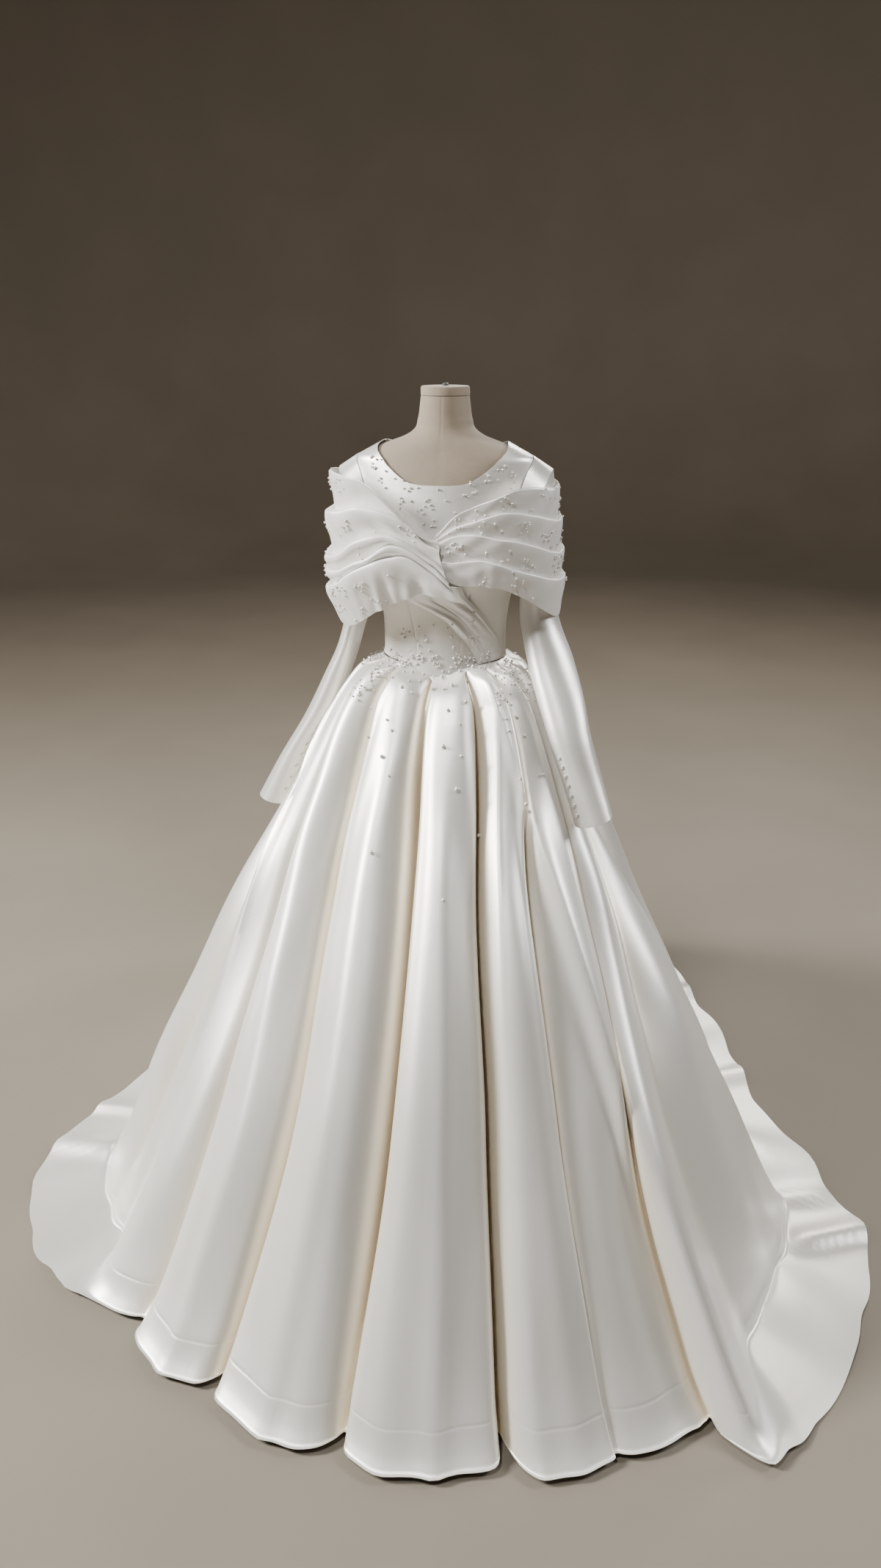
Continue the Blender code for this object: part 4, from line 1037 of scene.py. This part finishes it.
def tail_point(along, across):
    keyed = [(float(index), *row) for index, row in enumerate(TAIL)]
    high_x, high_z, low_x, low_z, off = np.moveaxis(table(keyed, along), -1, 0)
    x = high_x + (low_x - high_x) * across
    z = high_z + (low_z - high_z) * across
    wide_fold = np.abs(np.sin(np.clip(across / 0.56, 0.0, 1.0) * math.pi))
    low_fold = np.abs(np.sin(np.clip((across - 0.56) / 0.44, 0.0, 1.0) * math.pi))
    rolled = bell(across - 0.07, 0.045)
    fine = 0.0012 * np.sin(across * 21.0 + along * 0.9)
    crease = 0.0060 * wide_fold**0.8 + 0.0042 * low_fold**0.8 + 0.0045 * rolled + fine
    crease = crease * (1.0 - 0.85 * rise(along, 2.8, 3.2))
    y = -(bodice_depth(x, z) + off + CLOTH + crease)
    return np.stack([x, y, z], axis=-1)


# Pearls.

# Clusters of small pearls seen from the front: x and z in mm, count.
CLUSTERS = in_thousandths((
    (-123, 1502, 9), (-58, 1466, 6), (-18, 1424, 7), (60, 1455, 8), (110, 1503, 6), (97, 1467, 4),
    (137, 1471, 6), (86, 1412, 6), (48, 1402, 7), (135, 1435, 9), (204, 1447, 7), (166, 1394, 7),
    (207, 1375, 7), (175, 1329, 8), (157, 1287, 6), (-138, 1342, 5), (-173, 1390, 8), (-140, 1274, 8),
    (-192, 1231, 7), (-134, 1225, 5), (-180, 1461, 5), (-105, 1461, 4), (-71, 1424, 5), (-50, 1389, 5),
    (-27, 1379, 5), (0, 1384, 5), (34, 1359, 5), (60, 1353, 6), (90, 1301, 5), (-32, 1171, 8),
    (-6, 1123, 7), (66, 1171, 8), (-70, 1178, 6), (97, 1145, 7), (-96, 1128, 8), (-182, 1187, 6),
    (137, 1342, 4), (173, 1517, 6), (31, 1191, 4), (70, 1219, 4), (-4, 1123, 8), (41, 1119, 4),
), 2)

# Single pearls seen from the front: x, z and radius in mm.
SINGLES = in_thousandths((
    (-101, 1484, 1.7), (-82, 1472, 1.5), (-48, 1434, 1.7), (-36, 1417, 1.4), (-29, 1468, 1.5),
    (2, 1456, 1.7), (17, 1437, 1.4), (35, 1416, 1.7), (91, 1482, 1.5), (137, 1517, 1.6),
    (-37, 1458, 1.5), (79, 1425, 1.6), (114, 1402, 1.9), (125, 1389, 1.8), (90, 1385, 2.1),
    (99, 1350, 1.9), (148, 1315, 1.6), (177, 1423, 1.9), (-109, 1382, 1.8), (-184, 1369, 1.5),
    (-159, 1206, 2), (-82, 1306, 1.6), (183, 1261, 2), (-8, 1199, 1.7), (-37, 1193, 1.6),
    (-17, 1147, 1.9), (63, 1482, 1.6), (-4, 1402, 1.7), (29, 1383, 1.8), (50, 1334, 1.6),
    (17, 1344, 1.7), (-21, 1396, 1.6), (-41, 1118, 2.2), (-48, 1105, 2.4), (-27, 1101, 2.2),
    (-51, 1094, 2), (-31, 1092, 2.2), (11, 1108, 2.2), (11, 1096, 3.2), (36, 1090, 3.2), (27, 1115, 2),
    (45, 1109, 2.4), (59, 1118, 2.2), (69, 1116, 2.8), (32, 1133, 2.4), (-30, 1132, 2), (-38, 1156, 2),
    (31, 1155, 1.9), (-67, 1112, 2), (-62, 1085, 2.8), (-64, 1106, 2), (-102, 1076, 2.8),
    (-127, 1037, 2.2), (-85, 1029, 2.2), (-73, 1013, 2.5), (-122, 989, 2.6), (-86, 968, 3.2),
    (-69, 940, 2.2), (-85, 819, 3), (-43, 1076, 2.2), (-2, 1081, 3), (21, 1084, 2.2), (64, 1065, 3.3),
    (34, 1053, 2.8), (59, 1031, 2.8), (32, 994, 3.6), (67, 979, 3), (64, 925, 3.8), (62, 1092, 2),
    (-8, 1098, 2), (24, 1106, 2.2), (130, 1064, 2.5), (162, 1036, 3.2), (152, 1021, 3),
    (179, 1004, 2.5), (182, 944, 2.5), (219, 938, 2.8), (193, 902, 2.8), (110, 836, 3),
    (123, 1083, 2.5), (115, 1104, 2.2), (150, 1056, 2.2), (145, 1041, 2.2), (60, 760, 2.4),
), 2)

# Clusters all round: least and most angle from the front, least and most z, how many, count in each.
BANDS = (
    (-75.0, -45.0, 1.060, 1.115, 16, 6), (45.0, 80.0, 1.050, 1.115, 20, 6),
    (75.0, 285.0, 1.070, 1.118, 46, 6), (75.0, 285.0, 0.960, 1.070, 40, 1),
    (76.0, 104.0, 1.245, 1.450, 12, 5), (-104.0, -76.0, 1.235, 1.460, 14, 5),
    (104.0, 256.0, 1.270, 1.440, 22, 6), (110.0, 250.0, 1.470, 1.500, 9, 6),
    (-70.0, -36.0, 1.255, 1.300, 4, 5), (20.0, 60.0, 1.100, 1.135, 12, 4),
    (-60.0, -20.0, 1.098, 1.135, 12, 4), (104.0, 256.0, 1.140, 1.230, 12, 5),
)
PEARL_HOSTS = (("bodice", "pearls_on_bodice"), ("wrap", "pearls_on_wrap"), ("skirt", "pearls_on_skirt"))
# Sleeves carry no pearls, but from this height up they hide what lies behind them from the pearls' lines.
SLEEVE_HIDES_FROM = 1.44
LINE_FROM = 1.5
LINE_MOST = 1.49
CLUSTER_REACH = 0.013
BAND_REACH = 0.014
BODICE_OUT = 0.17
PEARL_PROUD = 0.8
SMALL_PEARL = (0.0015, 0.0025)
LARGE_PEARL = (0.0022, 0.0032)
PEARL_RINGS = 7
PEARL_SIDES = 10


def pearl_spots():
    """Start points, directions and radii of the lines along which each pearl is set on the cloth."""
    spots = []

    def front(x, z, radius):
        spots.append((Vector((x, -LINE_FROM, z)), Vector((0.0, 1.0, 0.0)), radius))

    def radial(angle, z, radius):
        away = Vector((math.sin(angle), -math.cos(angle), 0.0))
        spots.append((away * LINE_FROM + Vector((0.0, 0.0, z)), -away, radius))

    for x, z, count in CLUSTERS.tolist():
        for _ in range(int(count)):
            turn = rng.uniform(0, 2 * math.pi)
            reach = CLUSTER_REACH * math.sqrt(rng.uniform(0.02, 1.0))
            radius = rng.uniform(*SMALL_PEARL)
            front(x + reach * math.cos(turn), z + 1.25 * reach * math.sin(turn), radius)
    for x, z, radius in SINGLES.tolist():
        front(x, z, 1.25 * radius / 1000.0)
    for first, last, low, high, groups, count in BANDS:
        for _ in range(groups):
            angle = math.radians(rng.uniform(first, last))
            z = rng.uniform(low, high)
            for _ in range(count):
                turn = rng.uniform(0, 2 * math.pi)
                reach = BAND_REACH * math.sqrt(rng.uniform(0.0, 1.0)) if count > 1 else 0.0
                radius = rng.uniform(*(SMALL_PEARL if count > 1 else LARGE_PEARL))
                radial(angle + reach * math.cos(turn) / BODICE_OUT, z + reach * math.sin(turn), radius)
    return spots


def ball_points(centre, radius):
    points = [centre + Vector((0.0, 0.0, radius))]
    for ring in range(1, PEARL_RINGS):
        tilt = math.pi * ring / PEARL_RINGS
        for side in range(PEARL_SIDES):
            turn = 2 * math.pi * side / PEARL_SIDES
            points.append(centre + radius * Vector((
                math.sin(tilt) * math.cos(turn), math.sin(tilt) * math.sin(turn), math.cos(tilt))))
    points.append(centre - Vector((0.0, 0.0, radius)))
    return points


def ball_faces(start):
    last = start + 1 + (PEARL_RINGS - 1) * PEARL_SIDES
    faces = []
    for side in range(PEARL_SIDES):
        after = (side + 1) % PEARL_SIDES
        faces.append((start, start + 1 + side, start + 1 + after))
        low = start + 1 + (PEARL_RINGS - 2) * PEARL_SIDES
        faces.append((last, low + after, low + side))
        for ring in range(PEARL_RINGS - 2):
            here = start + 1 + ring * PEARL_SIDES
            below = here + PEARL_SIDES
            faces.append((here + side, below + side, below + after, here + after))
    return faces


def build_pearls(pieces):
    trees = []
    for piece in pieces:
        vertices = [vertex.co.copy() for vertex in piece.data.vertices]
        faces = [tuple(face.vertices) for face in piece.data.polygons]
        trees.append((piece.name, BVHTree.FromPolygons(vertices, faces)))
    found = {}
    for start, way, radius in pearl_spots():
        nearest = None
        for name, tree in trees:
            if name.startswith("sleeve") and start.z < SLEEVE_HIDES_FROM:
                continue
            spot, normal, _, distance = tree.ray_cast(start, way)
            if spot is not None and (nearest is None or distance < nearest[0]):
                nearest = (distance, name, spot, normal)
        if nearest is None or nearest[0] > LINE_MOST or nearest[1].startswith("sleeve"):
            continue
        _, name, spot, normal = nearest
        if normal.dot(way) > 0:
            normal = -normal
        host = next(label for prefix, label in PEARL_HOSTS if name.startswith(prefix))
        found.setdefault(host, []).append((spot + normal * radius * PEARL_PROUD, radius))
    for host, balls in found.items():
        points = []
        faces = []
        for centre, radius in balls:
            faces.extend(ball_faces(len(points)))
            points.extend(ball_points(centre, radius))
        made = mesh_object(host, points, faces, PEARL)
        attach(made, "root")


# Dress form.


# Rings of the neck cap in mm: how much wider than the neck, height over its top.
CAP = in_thousandths((
    (-0.6, 0.4), (0.4, 1.4), (0.4, 12), (-0.4, 15.5), (-2, 16.6), (-4, 16), (-6, 16.4), (-20, 16.8),
))
FORM_HEIGHTS = np.concatenate([
    np.linspace(0.900, 1.48, 60), np.linspace(1.484, 1.58, 50), np.linspace(1.584, NECK_TOP, 10),
])


def build_form():
    """Linen torso with a fine seam down the front, and the cap on its neck."""
    angles = np.linspace(-180.0, 180.0, 160, endpoint=False)
    seam = 0.0005 * bell(angles, 1.6)
    rings = [body_point(angles, np.full(len(angles), z), -FORM_IN - seam) for z in FORM_HEIGHTS]
    rings[0][:, 2] = FORM_HEIGHTS[0]
    stand_for(turned_body("form_torso", rings, LINEN), "form_linen", "form_body")
    neck = table(FORM, np.array([NECK_TOP]))[0]
    cap = []
    for grow, z in CAP:
        ring = body_point(angles, np.full(len(angles), NECK_TOP), -FORM_IN)
        ring = ring * np.array([1.0 + grow / neck[0], 1.0 + grow / neck[1], 1.0])
        ring[:, 2] = NECK_TOP + z
        cap.append(ring)
    stand_for(turned_body("neck_cap", cap, LINEN), "form_linen", "form_neck_cap")


def finish_cad_nodes():
    """Finishes of the stand and the buttons, which show as the part has them."""
    for name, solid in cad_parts.items():
        metal = name in ("form_neck_knob", "form_pole", "form_base")
        if metal or "button" in name:
            solid.data.materials.clear()
            solid.data.materials.append(METAL if metal else BUTTON_SATIN)


# Camera, floor and light. The floor is flat up to STAGE_FLAT and then bends up to STAGE_TOP.

STAGE_FLAT = 6.5
STAGE_BEND = 2.0
STAGE_TOP = 9.0
STAGE_SIDES = 72
CLOUDS = ((0.3, (0.195, 0.171, 0.135)), (0.7, (0.222, 0.195, 0.155)))
# Painted shade: the floor and wall colour darkens with the distance, as if less light reached them.
FAR_SHADE = (
    (0.22, (1.0, 1.0, 1.0)), (0.50, (0.80, 0.77, 0.73)),
    (0.80, (0.66, 0.61, 0.56)), (1.0, (0.60, 0.54, 0.48)),
)
# Lamps: name, place, aim, width, height, power, tint.
LAMPS = (
    ("left_key", (-4.5, -1.3, 3.4), (0.0, -0.2, 0.6), 0.8, 1.5, 620.0, (1.0, 0.985, 0.955)),
    ("right_key", (4.0, 0.7, 3.2), (0.0, 0.0, 0.6), 0.8, 1.3, 140.0, (0.985, 0.99, 1.0)),
    ("top", (-0.9, -2.4, 5.0), (0.0, -0.4, 0.4), 0.6, 0.6, 138.0, (1.0, 0.99, 0.965)),
    ("low_front", (-0.8, -4.6, 0.8), (0.0, -0.3, 0.4), 2.4, 0.8, 7.0, (1.0, 0.95, 0.89)),
    ("back", (1.2, 4.2, 3.8), (0.0, 0.2, 0.8), 1.2, 1.2, 110.0, (1.0, 0.95, 0.88)),
)


def floor_finish():
    """Clouded pale floor with painted shade that darkens it with the distance."""
    made, shader = new_material("floor", (0.27, 0.243, 0.205), 0.7)
    places = node(made.node_tree, "ShaderNodeTexCoord").outputs["Object"]
    distance = node(made.node_tree, "ShaderNodeVectorMath", operation="LENGTH")
    link(places, distance.inputs[0])
    reach = node(made.node_tree, "ShaderNodeMapRange")
    put(reach, From_Max=STAGE_TOP)
    link(distance.outputs["Value"], reach.inputs["Value"])
    clouds = ramp(noise(places, 1.4, 7.0), CLOUDS)
    # Painted shade with the distance.
    wall = ramp(reach.outputs["Result"], FAR_SHADE)
    link(times(clouds, wall), shader.inputs["Base Color"])
    return made


def build_stage():
    """Camera, soft lamps and a floor that curves up into a wall all round."""
    camera = bpy.data.objects.new("camera", bpy.data.cameras.new("camera"))
    bpy.context.scene.collection.objects.link(camera)
    camera.location = (0.360, -2.206, 1.735)
    camera.rotation_euler = (math.radians(90.0 - 22.0), 0.0, math.radians(9.5))
    camera.data.lens = 26.0
    camera.data.sensor_width = 36.0
    bpy.context.scene.camera = camera
    profile = [(1.0, 0.0), (3.5, 0.0), (STAGE_FLAT, 0.0)]
    for step in range(1, 17):
        turn = math.radians(90.0 * step / 16)
        profile.append((STAGE_FLAT + STAGE_BEND * math.sin(turn), STAGE_BEND * (1.0 - math.cos(turn))))
    profile.append((STAGE_FLAT + STAGE_BEND, STAGE_TOP))
    points = [(0.0, 0.0, 0.0)]
    faces = []
    for index, (out, z) in enumerate(profile):
        for side in range(STAGE_SIDES):
            turn = 2 * math.pi * side / STAGE_SIDES
            points.append((out * math.cos(turn), out * math.sin(turn), z))
            one = 1 + index * STAGE_SIDES + side
            two = 1 + index * STAGE_SIDES + (side + 1) % STAGE_SIDES
            if index:
                faces.append((one, two, two - STAGE_SIDES, one - STAGE_SIDES))
            else:
                faces.append((0, one, two))
    floor = mesh_object("floor", points, faces, floor_finish())
    world = bpy.data.worlds.new("soft_light")
    bpy.context.scene.world = world
    world.use_nodes = True
    put(world.node_tree.nodes["Background"], Color=(0.50, 0.41, 0.31, 1.0), Strength=0.22)
    for name, place, aim, size_x, size_y, power, tint in LAMPS:
        lamp = bpy.data.lights.new(name, "AREA")
        lamp.shape = "RECTANGLE"
        lamp.size = size_x
        lamp.size_y = size_y
        lamp.energy = power
        lamp.color = tint
        holder = bpy.data.objects.new(name, lamp)
        holder.location = place
        holder.rotation_euler = (Vector(aim) - Vector(place)).to_track_quat("-Z", "Y").to_euler()
        bpy.context.scene.collection.objects.link(holder)


build_stage()
sheets = build_skirt() + build_bodice() + build_sleeves() + build_wraps()
build_pearls([row[0] for row in sheets])
build_form()
finish_cad_nodes()
